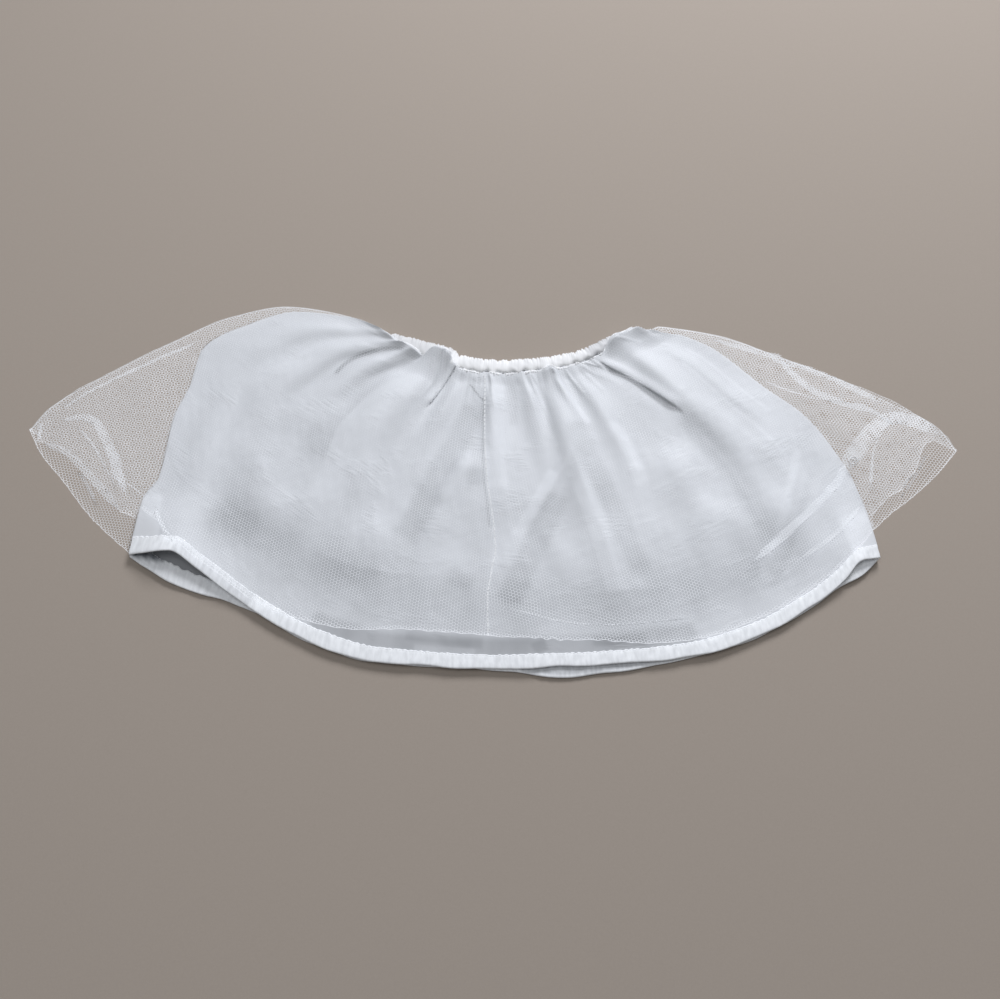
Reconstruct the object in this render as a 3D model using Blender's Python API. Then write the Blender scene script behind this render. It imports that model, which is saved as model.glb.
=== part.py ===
"""A child's ballet tutu laid flat, front up: a gathered casing, a satin under-skirt and a net over-skirt.

Every panel is a grid over two shares. "Across" runs from the left side fold (0) to the right one (1), and
"down" runs from the waist seam (0) to the satin's hem fold (1). Panels that lie on each other share their
grid lines near the waist, where the cloth is most creased, so the gap between two layers stays the same.
All sizes are in millimetres until a mesh is made. X runs from left to right as seen from above with the
waist at the top, Y runs from the hem to the waist, and Z is up from the floor.
"""

from collections import namedtuple

import bpy
import numpy as np

MM = 0.001

# Cloth and seams.
NET_WALL = 1.0
SATIN_WALL = 1.2
HEM_WALL = 2.2
SEAM_GAP = 0.3

# The satin's length from waist seam to hem fold, down the middle, and the depth of its turned-up hem.
SKIRT_LENGTH = 285.0
HEM_DEPTH = 12.5
STITCH_LINE = 1.0 - HEM_DEPTH / SKIRT_LENGTH

# Casing: a flat tube puckered by its elastic, with rounded edges.
CASING_WALL = 4.0
CASING_PUCKERS = 50
PUCKER_DEPTH = 0.9
SCALLOP_DEPTH = 0.9
CASING_EDGE = 1.5

# Columns of each skirt panel. Every second one stands up at the waist seam, as one small gather.
COLUMNS = 48
GATHER_HEIGHT = 1.2
GATHER_REACH = 0.16

# Rows of each panel, as shares of its length. The net's rows leave the satin's from here down.
ROWS = np.array([0.0, 0.03, 0.07, 0.13, 0.21, 0.31, 0.42, 0.54, 0.67, 0.79, 0.90, 1.0])
NET_ROWS_LEAVE = 0.36

# The side folds bow out from a straight line between waist and hem. The bow fades inwards by this power.
BOW_FADE = 4.0
# Front and back share one plan down to here, and part company below it.
PANELS_PART = 0.6
# Main folds fade over this share of the width next to each side fold.
FOLDS_FADE = 0.07

# The back net reaches the satin's hem within this share of each side fold, and stops short between them.
CORNER_START = 0.10
CORNER_FULL = 0.06

# The net's wings past the satin: columns as shares from the satin (0) to the net's own fold (1).
WING_COLUMNS = np.array([0.14, 0.3, 0.47, 0.64, 0.82, 1.0])
WING_DOME = 5.0

# The waist seam.
WaistRow = namedtuple("WaistRow", "across x y")
WAIST = [
    WaistRow(0.00, -105, 165),
    WaistRow(0.12, -85, 150),
    WaistRow(0.35, -40, 130),
    WaistRow(0.50, 0, 125),
    WaistRow(0.66, 50, 130),
    WaistRow(0.78, 80, 140),
    WaistRow(0.90, 110, 160),
    WaistRow(1.00, 135, 170),
]

# The height of the casing above the waist seam, and how far it puffs up.
CasingRow = namedtuple("CasingRow", "across height puff")
CASING = [
    CasingRow(0.00, 6.0, 0.0),
    CasingRow(0.12, 15.0, 1.0),
    CasingRow(0.33, 21.0, 2.0),
    CasingRow(0.36, 16.0, 0.2),
    CasingRow(0.60, 15.0, 0.0),
    CasingRow(0.80, 13.0, 0.8),
    CasingRow(1.00, 5.0, 0.0),
]

# The satin's hem, front and back, and how far the front lifts off the back.
HemRow = namedtuple("HemRow", "across front_x front_y back_x back_y lift")
HEM = [
    HemRow(0.00, -305, -55, -305, -55, 0),
    HemRow(0.06, -270, -55, -275, -75, 10),
    HemRow(0.10, -245, -70, -250, -85, 6),
    HemRow(0.18, -200, -102, -200, -102, 0),
    HemRow(0.26, -150, -130, -150, -130, 0),
    HemRow(0.33, -100, -146, -100, -145, 0),
    HemRow(0.46, -5, -152, -5, -152, 0),
    HemRow(0.57, 50, -150, 50, -158, 0),
    HemRow(0.66, 105, -147, 105, -151, 0),
    HemRow(0.72, 150, -142, 150, -142, 0),
    HemRow(0.80, 200, -127, 200, -127, 0),
    HemRow(0.88, 250, -100, 250, -100, 0),
    HemRow(0.94, 280, -77, 280, -80, 1),
    HemRow(0.97, 295, -62, 295, -72, 4),
    HemRow(1.00, 312, -57, 312, -57, 0),
]

# Where the side folds lie: the satin's by its share down, the net's own by the row's share.
SideRow = namedtuple("SideRow", "down x y")
LEFT_SATIN = [
    SideRow(0.00, -105, 165),
    SideRow(0.10, -145, 190),
    SideRow(0.20, -190, 196),
    SideRow(0.31, -235, 180),
    SideRow(0.40, -265, 162),
    SideRow(0.43, -272, 152),
    SideRow(0.54, -277, 115),
    SideRow(0.64, -287, 80),
    SideRow(0.80, -291, 20),
    SideRow(0.87, -301, 0),
    SideRow(1.00, -305, -55),
]
RIGHT_SATIN = [
    SideRow(0.00, 135, 170),
    SideRow(0.10, 160, 170),
    SideRow(0.20, 185, 160),
    SideRow(0.42, 238, 110),
    SideRow(0.54, 268, 82),
    SideRow(0.66, 288, 48),
    SideRow(0.78, 302, 12),
    SideRow(0.88, 308, -20),
    SideRow(1.00, 312, -57),
]
LEFT_NET = [
    SideRow(0.00, -107, 170),
    SideRow(0.05, -125, 184),
    SideRow(0.12, -145, 194),
    SideRow(0.25, -200, 204),
    SideRow(0.38, -250, 192),
    SideRow(0.53, -300, 164),
    SideRow(0.70, -350, 131),
    SideRow(0.91, -400, 91),
    SideRow(1.00, -413, 68),
]
RIGHT_NET = [
    SideRow(0.00, 137, 174),
    SideRow(0.05, 147, 181),
    SideRow(0.12, 162, 179),
    SideRow(0.25, 200, 171),
    SideRow(0.42, 250, 150),
    SideRow(0.60, 300, 126),
    SideRow(0.80, 350, 96),
    SideRow(0.95, 388, 69),
    SideRow(1.00, 397, 47),
]

# How far down the satin the net's raw hem lies, front and back.
NetHemRow = namedtuple("NetHemRow", "across front back")
NET_HEM = [
    NetHemRow(0.00, 0.90, 0.98),
    NetHemRow(0.03, 0.93, 0.93),
    NetHemRow(0.06, 0.98, 0.85),
    NetHemRow(0.18, 0.98, 0.85),
    NetHemRow(0.27, 0.95, 0.85),
    NetHemRow(0.38, 0.91, 0.85),
    NetHemRow(0.60, 0.93, 0.85),
    NetHemRow(0.72, 0.96, 0.85),
    NetHemRow(0.94, 0.96, 0.85),
    NetHemRow(0.97, 0.96, 0.93),
    NetHemRow(1.00, 0.92, 0.93),
]

# The net's hem across each wing, from the satin's side fold (0) out to the tip (1).
WingHemRow = namedtuple("WingHemRow", "out front_x front_y back_x back_y")
LEFT_WING_HEM = [
    WingHemRow(0.00, -304, -22, -305, -52),
    WingHemRow(0.16, -320, -14, -322, -38),
    WingHemRow(0.33, -337, 2, -344, -18),
    WingHemRow(0.62, -370, 37, -375, 18),
    WingHemRow(0.86, -395, 53, -399, 45),
    WingHemRow(1.00, -413, 68, -413, 68),
]
RIGHT_WING_HEM = [
    WingHemRow(0.00, 310, -20, 311, -31),
    WingHemRow(0.20, 324, -6, 330, -14),
    WingHemRow(0.38, 342, 9, 345, -3),
    WingHemRow(0.62, 356, 31, 363, 12),
    WingHemRow(0.76, 371, 51, 376, 24),
    WingHemRow(1.00, 397, 47, 397, 47),
]

# Ridges of the front: across at their top and at their foot, where down they start and end, and their form.
Fold = namedtuple("Fold", "top foot starts reach height width")
SATIN_FOLDS = [
    Fold(0.05, 0.04, 0.00, 0.60, 2.5, 0.026),
    Fold(0.11, 0.10, 0.00, 0.85, 4.0, 0.030),
    Fold(0.18, 0.17, 0.00, 0.55, 4.0, 0.022),
    Fold(0.28, 0.22, 0.00, 0.95, 7.0, 0.044),
    Fold(0.39, 0.33, 0.00, 0.60, 3.5, 0.020),
    Fold(0.45, 0.38, 0.30, 0.70, 3.5, 0.028),
    Fold(0.48, 0.49, 0.00, 0.60, 4.5, 0.022),
    Fold(0.57, 0.59, 0.00, 0.50, 3.0, 0.020),
    Fold(0.64, 0.66, 0.00, 0.95, 6.0, 0.034),
    Fold(0.71, 0.75, 0.00, 0.65, 4.0, 0.024),
    Fold(0.80, 0.79, 0.35, 0.90, 3.0, 0.030),
    Fold(0.88, 0.91, 0.00, 0.92, 6.0, 0.032),
    Fold(0.95, 0.96, 0.10, 0.70, 2.5, 0.024),
]
NET_FOLDS = [
    Fold(0.14, 0.08, 0.00, 0.95, 1.5, 0.028),
    Fold(0.24, 0.20, 0.00, 0.80, 2.0, 0.026),
    Fold(0.35, 0.32, 0.00, 0.95, 1.5, 0.026),
    Fold(0.50, 0.50, 0.40, 0.95, 1.5, 0.026),
    Fold(0.62, 0.64, 0.00, 0.85, 2.0, 0.028),
    Fold(0.70, 0.84, 0.05, 0.80, 2.0, 0.026),
    Fold(0.83, 0.86, 0.00, 0.55, 2.0, 0.024),
]
LEFT_WING_FOLDS = [
    Fold(0.20, 0.25, 0.30, 1.10, 3.0, 0.12),
    Fold(0.75, 0.62, 0.40, 1.20, 4.0, 0.12),
]
RIGHT_WING_FOLDS = [
    Fold(0.35, 0.30, 0.30, 1.10, 3.0, 0.12),
    Fold(0.85, 0.70, 0.40, 1.20, 5.0, 0.12),
]
# Share of a fold's height that is already there at the waist seam.
SEWN_HEIGHT = 0.35
# The front net's seam lies on this column.
NET_SEAM_COLUMN = 22

Look = namedtuple("Look", "red green blue roughness")
SATIN = Look(0.74, 0.77, 0.81, 0.45)
NET = Look(0.62, 0.62, 0.65, 0.75)


def clear_scene():
    for obj in list(bpy.data.objects):
        bpy.data.objects.remove(obj, do_unlink=True)


def ease(start, stop, value):
    """0 before start, 1 after stop, and a soft step between them."""
    share = np.clip((value - start) / (stop - start), 0.0, 1.0)
    return share * share * (3.0 - 2.0 * share)


def through(table, column):
    """A function of the table's first column that runs smoothly through another one, with no overshoot."""
    knots = np.array([row[0] for row in table], float)
    values = np.array([getattr(row, column) for row in table], float)
    spans = np.diff(knots)
    rises = np.diff(values) / spans
    slopes = np.concatenate([rises[:1], np.zeros(len(rises) - 1), rises[-1:]])
    for i in range(1, len(rises)):
        if rises[i - 1] * rises[i] > 0:
            near = 2 * spans[i] + spans[i - 1]
            far = spans[i] + 2 * spans[i - 1]
            slopes[i] = (near + far) / (near / rises[i - 1] + far / rises[i])

    def at(share):
        share = np.clip(share, knots[0], knots[-1])
        i = np.clip(np.searchsorted(knots, share, side="right") - 1, 0, len(spans) - 1)
        t = (share - knots[i]) / spans[i]
        near = values[i] * (1 + 2 * t) + slopes[i] * spans[i] * t
        far = values[i + 1] * (3 - 2 * t) - slopes[i + 1] * spans[i] * (1 - t)
        return near * (1 - t) ** 2 + far * t**2

    return at


def curve(table, prefix=""):
    """A function that gives points (x, y) on the smooth curve through a table."""
    x = through(table, prefix + "x")
    y = through(table, prefix + "y")
    return lambda share: np.stack([x(share), y(share)], axis=-1)


# The garment's lines, each a function of a share. Pairs are (left, right).
WAIST_LINE = curve(WAIST)
HEM_LINE = {"front": curve(HEM, "front_"), "back": curve(HEM, "back_")}
SATIN_SIDES = (curve(LEFT_SATIN), curve(RIGHT_SATIN))
NET_SIDES = (curve(LEFT_NET), curve(RIGHT_NET))
NET_HEM_SHARE = {"front": through(NET_HEM, "front"), "back": through(NET_HEM, "back")}
WING_HEMS = {
    "front": (curve(LEFT_WING_HEM, "front_"), curve(RIGHT_WING_HEM, "front_")),
    "back": (curve(LEFT_WING_HEM, "back_"), curve(RIGHT_WING_HEM, "back_")),
}
WING_FOLDS = (LEFT_WING_FOLDS, RIGHT_WING_FOLDS)
CORNER_LIFT = through(HEM, "lift")


def bow(line, down):
    """How far a side line lies from the straight line between its own ends."""
    share = down[..., None]
    return line(down) - (1 - share) * line(0.0) - share * line(1.0)


def panel_plan(across, down, side):
    """Points (x, y) of the skirt at shares across and down. side is "front" or "back"."""
    share = down[..., None]
    hem = HEM_LINE["back"](across)
    if side == "front":
        parted = ease(PANELS_PART, 1.0, share)
        hem = hem + parted * (HEM_LINE["front"](across) - hem)
    left_bow = ((1 - across) ** BOW_FADE)[..., None] * bow(SATIN_SIDES[0], down)
    right_bow = (across**BOW_FADE)[..., None] * bow(SATIN_SIDES[1], down)
    return (1 - share) * WAIST_LINE(across) + share * hem + left_bow + right_bow


def crest(folds, across, down):
    """Height of a family of folds that swell below their start and die away down the skirt."""
    total = np.zeros(np.broadcast(across, down).shape)
    for fold in folds:
        along = (down - fold.starts) / (fold.reach - fold.starts)
        middle = fold.top + (fold.foot - fold.top) * along
        sewn = SEWN_HEIGHT if fold.starts == 0.0 else 0.0
        swell = sewn + (1.0 - sewn) * ease(0.0, 0.25, along)
        fading = 1.0 - ease(0.25, 1.0, along)
        total = total + fold.height * swell * fading * np.exp(-(((across - middle) / fold.width) ** 2))
    return total


def main_folds(folds, across, down):
    """The folds of a panel, faded towards its side folds."""
    inside = ease(0.0, FOLDS_FADE, across) * ease(0.0, FOLDS_FADE, 1.0 - across)
    return inside * crest(folds, across, down)


def gather(column, across, down):
    """Small waves at the waist seam: every second column stands up. It is also the back net's underside."""
    return GATHER_HEIGHT * (column % 2) * (1.0 - ease(0.0, GATHER_REACH, down))


def corner(across):
    """1 where the back net reaches under the satin's corners, 0 between them."""
    return 1.0 - ease(CORNER_FULL, CORNER_START, across) * ease(CORNER_FULL, CORNER_START, 1.0 - across)


def satin_back_floor(column, across, down):
    """Underside of the satin back: on the back net, and on the floor below the net's hem."""
    last_row_above = ROWS[-2] * STITCH_LINE
    drop = ease(last_row_above, STITCH_LINE, down) * (1.0 - corner(across))
    return gather(column, across, down) + (NET_WALL + SEAM_GAP) * (1.0 - drop)


def satin_front_floor(column, across, down):
    """Underside of the satin front: on the back, with the main folds and the lifted corners."""
    lying = NET_WALL + SATIN_WALL + 2 * SEAM_GAP + gather(column, across, down)
    over_hem = (HEM_WALL - SATIN_WALL) * corner(across) * ease(0.80, 0.93, down)
    lift = CORNER_LIFT(across) * ease(0.72, 1.0, down)
    return lying + over_hem + lift + main_folds(SATIN_FOLDS, across, down)


def net_front_floor(column, across, down):
    """Underside of the front net: on the satin front and, near the hem, clear of the thicker hem."""
    satin = satin_front_floor(column, across, down) + SATIN_WALL + SEAM_GAP
    hem_rise = (HEM_WALL - SATIN_WALL + 2 * SEAM_GAP) * ease(0.66, 0.88, down)
    return satin + hem_rise + main_folds(NET_FOLDS, across, down)


def with_height(plan, height):
    return np.concatenate([plan, height[..., None]], axis=-1)


def wall(lower, thickness):
    """Lower and upper grids of a cloth wall."""
    return lower, lower + [0.0, 0.0, thickness]


def grid_over(rows):
    """Row shares, column numbers and shares across, each as a grid."""
    shares, numbers = np.meshgrid(rows, np.arange(COLUMNS + 1), indexing="ij")
    return shares, numbers, numbers / COLUMNS


def satin_panel(side, floor):
    """A satin panel from the waist seam to its stitch line."""
    rows, column, across = grid_over(ROWS)
    down = rows * STITCH_LINE
    return wall(with_height(panel_plan(across, down, side), floor(column, across, down)), SATIN_WALL)


def hem_band(side, floor):
    """A turned-up hem from the stitch line to its fold."""
    down, column, across = grid_over(np.linspace(STITCH_LINE + SEAM_GAP / SKIRT_LENGTH, 1.0, 3))
    return wall(with_height(panel_plan(across, down, side), floor(column, across, down)), HEM_WALL)


def wing(hand, side, root):
    """Points of the net past a side fold. hand is 0 (left) or 1 (right), and root the points it starts at."""
    outer = NET_SIDES[hand](ROWS)
    hem = WING_HEMS[side][hand]
    columns = []
    for out in WING_COLUMNS:
        straight = (1 - out) * root[:, :2] + out * outer
        hem_bow = hem(out) - straight[-1]
        plan = straight + (ROWS**4)[:, None] * hem_bow
        height = root[:, 2] * (1.0 - out)
        if side == "front":
            lowest = NET_WALL + SEAM_GAP
            landing = 1.0 - ease(0.1, 1.0, out)
            dome = WING_DOME * 4 * out * (1 - out) * ease(0.35, 0.8, ROWS)
            ridges = crest(WING_FOLDS[hand], out, ROWS) * ease(0.35, 0.7, ROWS) * (1.0 - ease(0.8, 1.0, out))
            height = lowest + (root[:, 2] - lowest) * landing + dome + ridges
        columns.append(with_height(plan, height))
    return np.stack(columns, axis=1)


def net_panel(side, floor):
    """One whole side of the net, wings and all, from the waist seam to its raw hem."""
    rows, column, across = grid_over(ROWS)
    stretch = NET_HEM_SHARE[side](across) / STITCH_LINE - 1.0
    down = rows * STITCH_LINE * (1.0 + stretch * ease(NET_ROWS_LEAVE, 1.0, rows))
    middle = with_height(panel_plan(across, down, side), floor(column, across, down))
    left = wing(0, side, middle[:, 0])
    right = wing(1, side, middle[:, -1])
    return wall(np.concatenate([left[:, ::-1], middle, right], axis=1), NET_WALL)


def halves(grids, column):
    """Two walls parted at a seam that runs down one column."""
    left = [grid[:, : column + 1].copy() for grid in grids]
    right = [grid[:, column:].copy() for grid in grids]
    for grid in left:
        grid[:, -1, 0] -= SEAM_GAP / 2
    for grid in right:
        grid[:, 0, 0] += SEAM_GAP / 2
    return left, right


def cloth_material(name, look):
    material = bpy.data.materials.new(name)
    material.use_nodes = True
    shader = material.node_tree.nodes["Principled BSDF"]
    shader.inputs["Base Color"].default_value = (look.red, look.green, look.blue, 1.0)
    shader.inputs["Roughness"].default_value = look.roughness
    shader.inputs["Metallic"].default_value = 0.0
    return material


def add_mesh(name, points, faces, look):
    mesh = bpy.data.meshes.new(name)
    mesh.from_pydata((points * MM).tolist(), [], faces)
    mesh.shade_smooth()
    mesh.set_sharp_from_angle(angle=np.radians(50))
    mesh.materials.append(cloth_material(name + "_cloth", look))
    obj = bpy.data.objects.new(name, mesh)
    bpy.context.scene.collection.objects.link(obj)
    return obj


def add_panel(name, grids, look):
    """A closed wall between a lower and an upper grid. All cells split the same way, so layers stay apart."""
    lower, upper = grids
    rows, columns = lower.shape[:2]
    count = rows * columns
    points = np.concatenate([lower.reshape(-1, 3), upper.reshape(-1, 3)])
    faces = []
    for row in range(rows - 1):
        for column in range(columns - 1):
            a = row * columns + column
            b = a + 1
            c = a + columns
            d = c + 1
            faces += [(a, b, d), (a, d, c)]
            faces += [(a + count, d + count, b + count), (a + count, c + count, d + count)]
    top = list(range(columns - 1))
    right = [row * columns + columns - 1 for row in range(rows - 1)]
    bottom = list(range(count - 1, count - columns, -1))
    left = [row * columns for row in range(rows - 1, 0, -1)]
    rim = top + right + bottom + left
    for start, stop in zip(rim, rim[1:] + rim[:1]):
        faces += [(start, start + count, stop + count), (start, stop + count, stop)]
    return add_mesh(name, points, faces, look)


def add_casing(name, floor, puff, look):
    """Half of the casing, along the waist seam. Its puff, as a share of the table's, lifts its upper side."""
    columns = 2 * CASING_PUCKERS + 1
    across = np.linspace(0.0, 1.0, columns)
    pucker = np.arange(columns) % 2
    seam = WAIST_LINE(across)
    along = np.gradient(seam, axis=0)
    normal = np.stack([-along[:, 1], along[:, 0]], axis=-1)
    # The casing leans half way between square to the seam and straight up the skirt.
    lean = normal / np.linalg.norm(normal, axis=1)[:, None] + [0.0, 1.0]
    lean = lean / np.linalg.norm(lean, axis=1)[:, None]
    height = through(CASING, "height")(across) - SCALLOP_DEPTH * pucker
    ceiling = floor + CASING_WALL - PUCKER_DEPTH * pucker + puff * through(CASING, "puff")(across)
    middle = (floor + ceiling) / 2
    section = [
        (SEAM_GAP + CASING_EDGE, floor),
        (height - CASING_EDGE, floor),
        (height, middle),
        (height - CASING_EDGE, ceiling),
        (SEAM_GAP + CASING_EDGE, ceiling),
        (SEAM_GAP, middle),
    ]
    ring = len(section)
    points = np.zeros((columns, ring, 3))
    for i, (away, level) in enumerate(section):
        points[:, i, :2] = seam + lean * np.reshape(away, (-1, 1))
        points[:, i, 2] = level
    faces = []
    for column in range(columns - 1):
        for i in range(ring):
            a = column * ring + i
            b = column * ring + (i + 1) % ring
            faces += [(a, b + ring, a + ring), (a, b, b + ring)]
    last = (columns - 1) * ring
    for i in range(1, ring - 1):
        faces += [(0, i + 1, i), (last, last + i, last + i + 1)]
    return add_mesh(name, points.reshape(-1, 3), faces, look)


def centre_on_floor(objects):
    """Moves every mesh by one step, so that the middle of the part's underside is the origin."""
    corners = np.array([vertex.co for obj in objects for vertex in obj.data.vertices])
    low = corners.min(axis=0)
    high = corners.max(axis=0)
    step = -np.array([(low[0] + high[0]) / 2, (low[1] + high[1]) / 2, low[2]])
    for obj in objects:
        for vertex in obj.data.vertices:
            vertex.co = step + vertex.co


def build():
    clear_scene()
    net_left, net_right = halves(net_panel("front", net_front_floor), len(WING_COLUMNS) + NET_SEAM_COLUMN)
    centre_on_floor(
        [
            add_panel("net_back", net_panel("back", gather), NET),
            add_panel("satin_back", satin_panel("back", satin_back_floor), SATIN),
            add_panel("hem_back", hem_band("back", satin_back_floor), SATIN),
            add_panel("satin_front", satin_panel("front", satin_front_floor), SATIN),
            add_panel("hem_front", hem_band("front", satin_front_floor), SATIN),
            add_panel("net_front_left", net_left, NET),
            add_panel("net_front_right", net_right, NET),
            add_casing("waistband_back", 0.0, 0.0, SATIN),
            add_casing("waistband_front", CASING_WALL + SEAM_GAP, 1.0, SATIN),
        ]
    )


build()
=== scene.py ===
# %% [markdown]
# # A child's ballet tutu, laid flat
# The skirt is three things sewn together at the waist: a satin under-skirt with a turned-up hem, a wider
# over-skirt of net, and a casing with elastic in it that gathers them both. It lies on a floor, front up.
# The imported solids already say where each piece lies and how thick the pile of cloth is. This script makes
# every piece again as thin cloth on the same lines, with what solids can't hold: open net, small gathers,
# puckers and stitches. Sizes below are in millimetres, as a maker would write them, with X from left to
# right, Y from the hem to the waist and Z up. They become metres only when a mesh is made.

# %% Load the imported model
import math
from collections import namedtuple

import bpy
import numpy as np
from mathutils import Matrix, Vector


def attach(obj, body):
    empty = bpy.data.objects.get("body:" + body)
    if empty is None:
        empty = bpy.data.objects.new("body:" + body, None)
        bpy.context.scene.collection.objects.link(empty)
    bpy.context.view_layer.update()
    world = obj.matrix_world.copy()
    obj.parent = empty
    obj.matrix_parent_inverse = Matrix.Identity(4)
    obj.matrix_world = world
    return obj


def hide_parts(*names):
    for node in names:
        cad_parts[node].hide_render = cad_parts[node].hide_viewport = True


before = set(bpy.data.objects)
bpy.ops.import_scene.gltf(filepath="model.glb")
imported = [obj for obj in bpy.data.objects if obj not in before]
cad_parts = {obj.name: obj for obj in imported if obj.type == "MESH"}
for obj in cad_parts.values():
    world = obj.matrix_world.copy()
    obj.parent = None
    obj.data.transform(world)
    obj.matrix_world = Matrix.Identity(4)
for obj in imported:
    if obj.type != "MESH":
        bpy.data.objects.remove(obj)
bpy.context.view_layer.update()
print("packed nodes:", sorted(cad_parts))

# %% [markdown]
# ## Sizes and lines
# A maker marks a skirt with a few lines: waist seam, hem, side folds. Each table below is one such line,
# with a row for each mark along it. A share says how far along a line a mark is: "across" runs from the left
# side fold (0) to the right one (1), and "down" from the waist seam (0) to the hem fold (1). Smooth curves
# are run through the rows, so a line can be changed by moving one number.

# %% Cloth, seams and the lines of the skirt
def rows_of(kind, *rows):
    """A table whose columns have names: each row becomes one named tuple of this kind."""
    return [kind(*row) for row in rows]


MM = 0.001
# How thick each layer is, and the gap between two of them.
NET_WALL, SATIN_WALL, HEM_WALL, CASING_WALL, SEAM_GAP = 1.0, 1.2, 2.2, 4.0, 0.3
SKIRT_LENGTH, HEM_DEPTH = 285.0, 12.5
STITCH_LINE = 1.0 - HEM_DEPTH / SKIRT_LENGTH
# Share down from which the net's rows leave the satin's, and from which the front's hem leaves the back's.
NET_ROWS_LEAVE, PANELS_PART = 0.36, 0.6
# How fast a side fold's bow dies out towards the middle, and the share across over which folds fade there.
BOW_FADE, FOLDS_FADE = 4.0, 0.07
# The back net reaches under the satin for this share across at each corner.
CORNER_START, CORNER_FULL = 0.10, 0.06

# The waist seam.
WAIST = rows_of(
    namedtuple("WaistRow", "across x y"),
    (0.00, -105, 165), (0.12, -85, 150), (0.35, -40, 130), (0.50, 0, 125), (0.66, 50, 130),
    (0.78, 80, 140), (0.90, 110, 160), (1.00, 135, 170),
)

# The height of the casing above the waist seam, and how far it puffs up.
CASING = rows_of(
    namedtuple("CasingRow", "across height puff"),
    (0.00, 6.0, 0.0), (0.12, 15.0, 1.0), (0.33, 21.0, 2.0), (0.36, 16.0, 0.2), (0.60, 15.0, 0.0),
    (0.80, 13.0, 0.8), (1.00, 5.0, 0.0),
)

# The satin's hem, front and back, and how far the front lifts off the back.
HEM = rows_of(
    namedtuple("HemRow", "across front_x front_y back_x back_y lift"),
    (0.00, -305, -55, -305, -55, 0), (0.06, -270, -55, -275, -75, 10), (0.10, -245, -70, -250, -85, 6),
    (0.18, -200, -102, -200, -102, 0), (0.26, -150, -130, -150, -130, 0),
    (0.33, -100, -146, -100, -145, 0), (0.46, -5, -152, -5, -152, 0), (0.57, 50, -150, 50, -158, 0),
    (0.66, 105, -147, 105, -151, 0), (0.72, 150, -142, 150, -142, 0), (0.80, 200, -127, 200, -127, 0),
    (0.88, 250, -100, 250, -100, 0), (0.94, 280, -77, 280, -80, 1), (0.97, 295, -62, 295, -72, 4),
    (1.00, 312, -57, 312, -57, 0),
)

# Where the side folds lie: the satin's by its share down, the net's own by the row's share.
SideRow = namedtuple("SideRow", "down x y")
LEFT_SATIN = rows_of(
    SideRow,
    (0.00, -105, 165), (0.10, -145, 190), (0.20, -190, 196), (0.31, -235, 180), (0.40, -265, 162),
    (0.43, -272, 152), (0.54, -277, 115), (0.64, -287, 80), (0.80, -291, 20), (0.87, -301, 0),
    (1.00, -305, -55),
)
RIGHT_SATIN = rows_of(
    SideRow,
    (0.00, 135, 170), (0.10, 160, 170), (0.20, 185, 160), (0.42, 238, 110), (0.54, 268, 82),
    (0.66, 288, 48), (0.78, 302, 12), (0.88, 308, -20), (1.00, 312, -57),
)
LEFT_NET = rows_of(
    SideRow,
    (0.00, -107, 170), (0.05, -125, 184), (0.12, -145, 194), (0.25, -200, 204), (0.38, -250, 192),
    (0.53, -300, 164), (0.70, -350, 131), (0.91, -400, 91), (1.00, -413, 68),
)
RIGHT_NET = rows_of(
    SideRow,
    (0.00, 137, 174), (0.05, 147, 181), (0.12, 162, 179), (0.25, 200, 171), (0.42, 250, 150),
    (0.60, 300, 126), (0.80, 350, 96), (0.95, 388, 69), (1.00, 397, 47),
)

# How far down the satin the net's raw hem lies, front and back.
NET_HEM = rows_of(
    namedtuple("NetHemRow", "across front back"),
    (0.00, 0.90, 0.98), (0.03, 0.93, 0.93), (0.06, 0.98, 0.85), (0.18, 0.98, 0.85), (0.27, 0.95, 0.85),
    (0.38, 0.91, 0.85), (0.60, 0.93, 0.85), (0.72, 0.96, 0.85), (0.94, 0.96, 0.85), (0.97, 0.96, 0.93),
    (1.00, 0.92, 0.93),
)

# The net's hem across each wing, from the satin's side fold (0) out to the tip (1).
WingHemRow = namedtuple("WingHemRow", "out front_x front_y back_x back_y")
LEFT_WING_HEM = rows_of(
    WingHemRow,
    (0.00, -304, -22, -305, -52), (0.16, -320, -14, -322, -38), (0.33, -337, 2, -344, -18),
    (0.62, -370, 37, -375, 18), (0.86, -395, 53, -399, 45), (1.00, -413, 68, -413, 68),
)
RIGHT_WING_HEM = rows_of(
    WingHemRow,
    (0.00, 310, -20, 311, -31), (0.20, 324, -6, 330, -14), (0.38, 342, 9, 345, -3),
    (0.62, 356, 31, 363, 12), (0.76, 371, 51, 376, 24), (1.00, 397, 47, 397, 47),
)

# How far across the satin the seam that closes the net runs.
NET_SEAM = rows_of(
    namedtuple("SeamRow", "down across"),
    (0.00, 0.455), (0.10, 0.460), (0.40, 0.468), (0.68, 0.474), (0.77, 0.465), (0.88, 0.456),
    (1.00, 0.456),
)

# Packing moved the part round its own middle. The net's left tip tells where the tables' zero went.
tip = min((vertex.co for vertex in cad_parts["net_back"].data.vertices), key=lambda place: place.x)
TO_ROW = np.array([tip.x / MM - LEFT_NET[-1].x, tip.y / MM - LEFT_NET[-1].y, 0.0])
print("the tables' zero lies at", TO_ROW[:2].round(2), "mm in the packed model")
print("skirt length", SKIRT_LENGTH, "mm; waist laid flat", WAIST[-1].x - WAIST[0].x, "mm")

# %% [markdown]
# ## Smooth curves
# Blender has curve objects, but a curve that stays a plain function is easier to build cloth on: it can be
# asked for any point. "ease" is a soft step, and "through" runs a curve through a table's column without
# overshooting it, which keeps a hem from bulging between two marks.

# %% Curves through tables
def ease(start, stop, value):
    """0 before start, 1 after stop, and a soft step between them."""
    share = np.clip((value - start) / (stop - start), 0.0, 1.0)
    return share * share * (3.0 - 2.0 * share)


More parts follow.
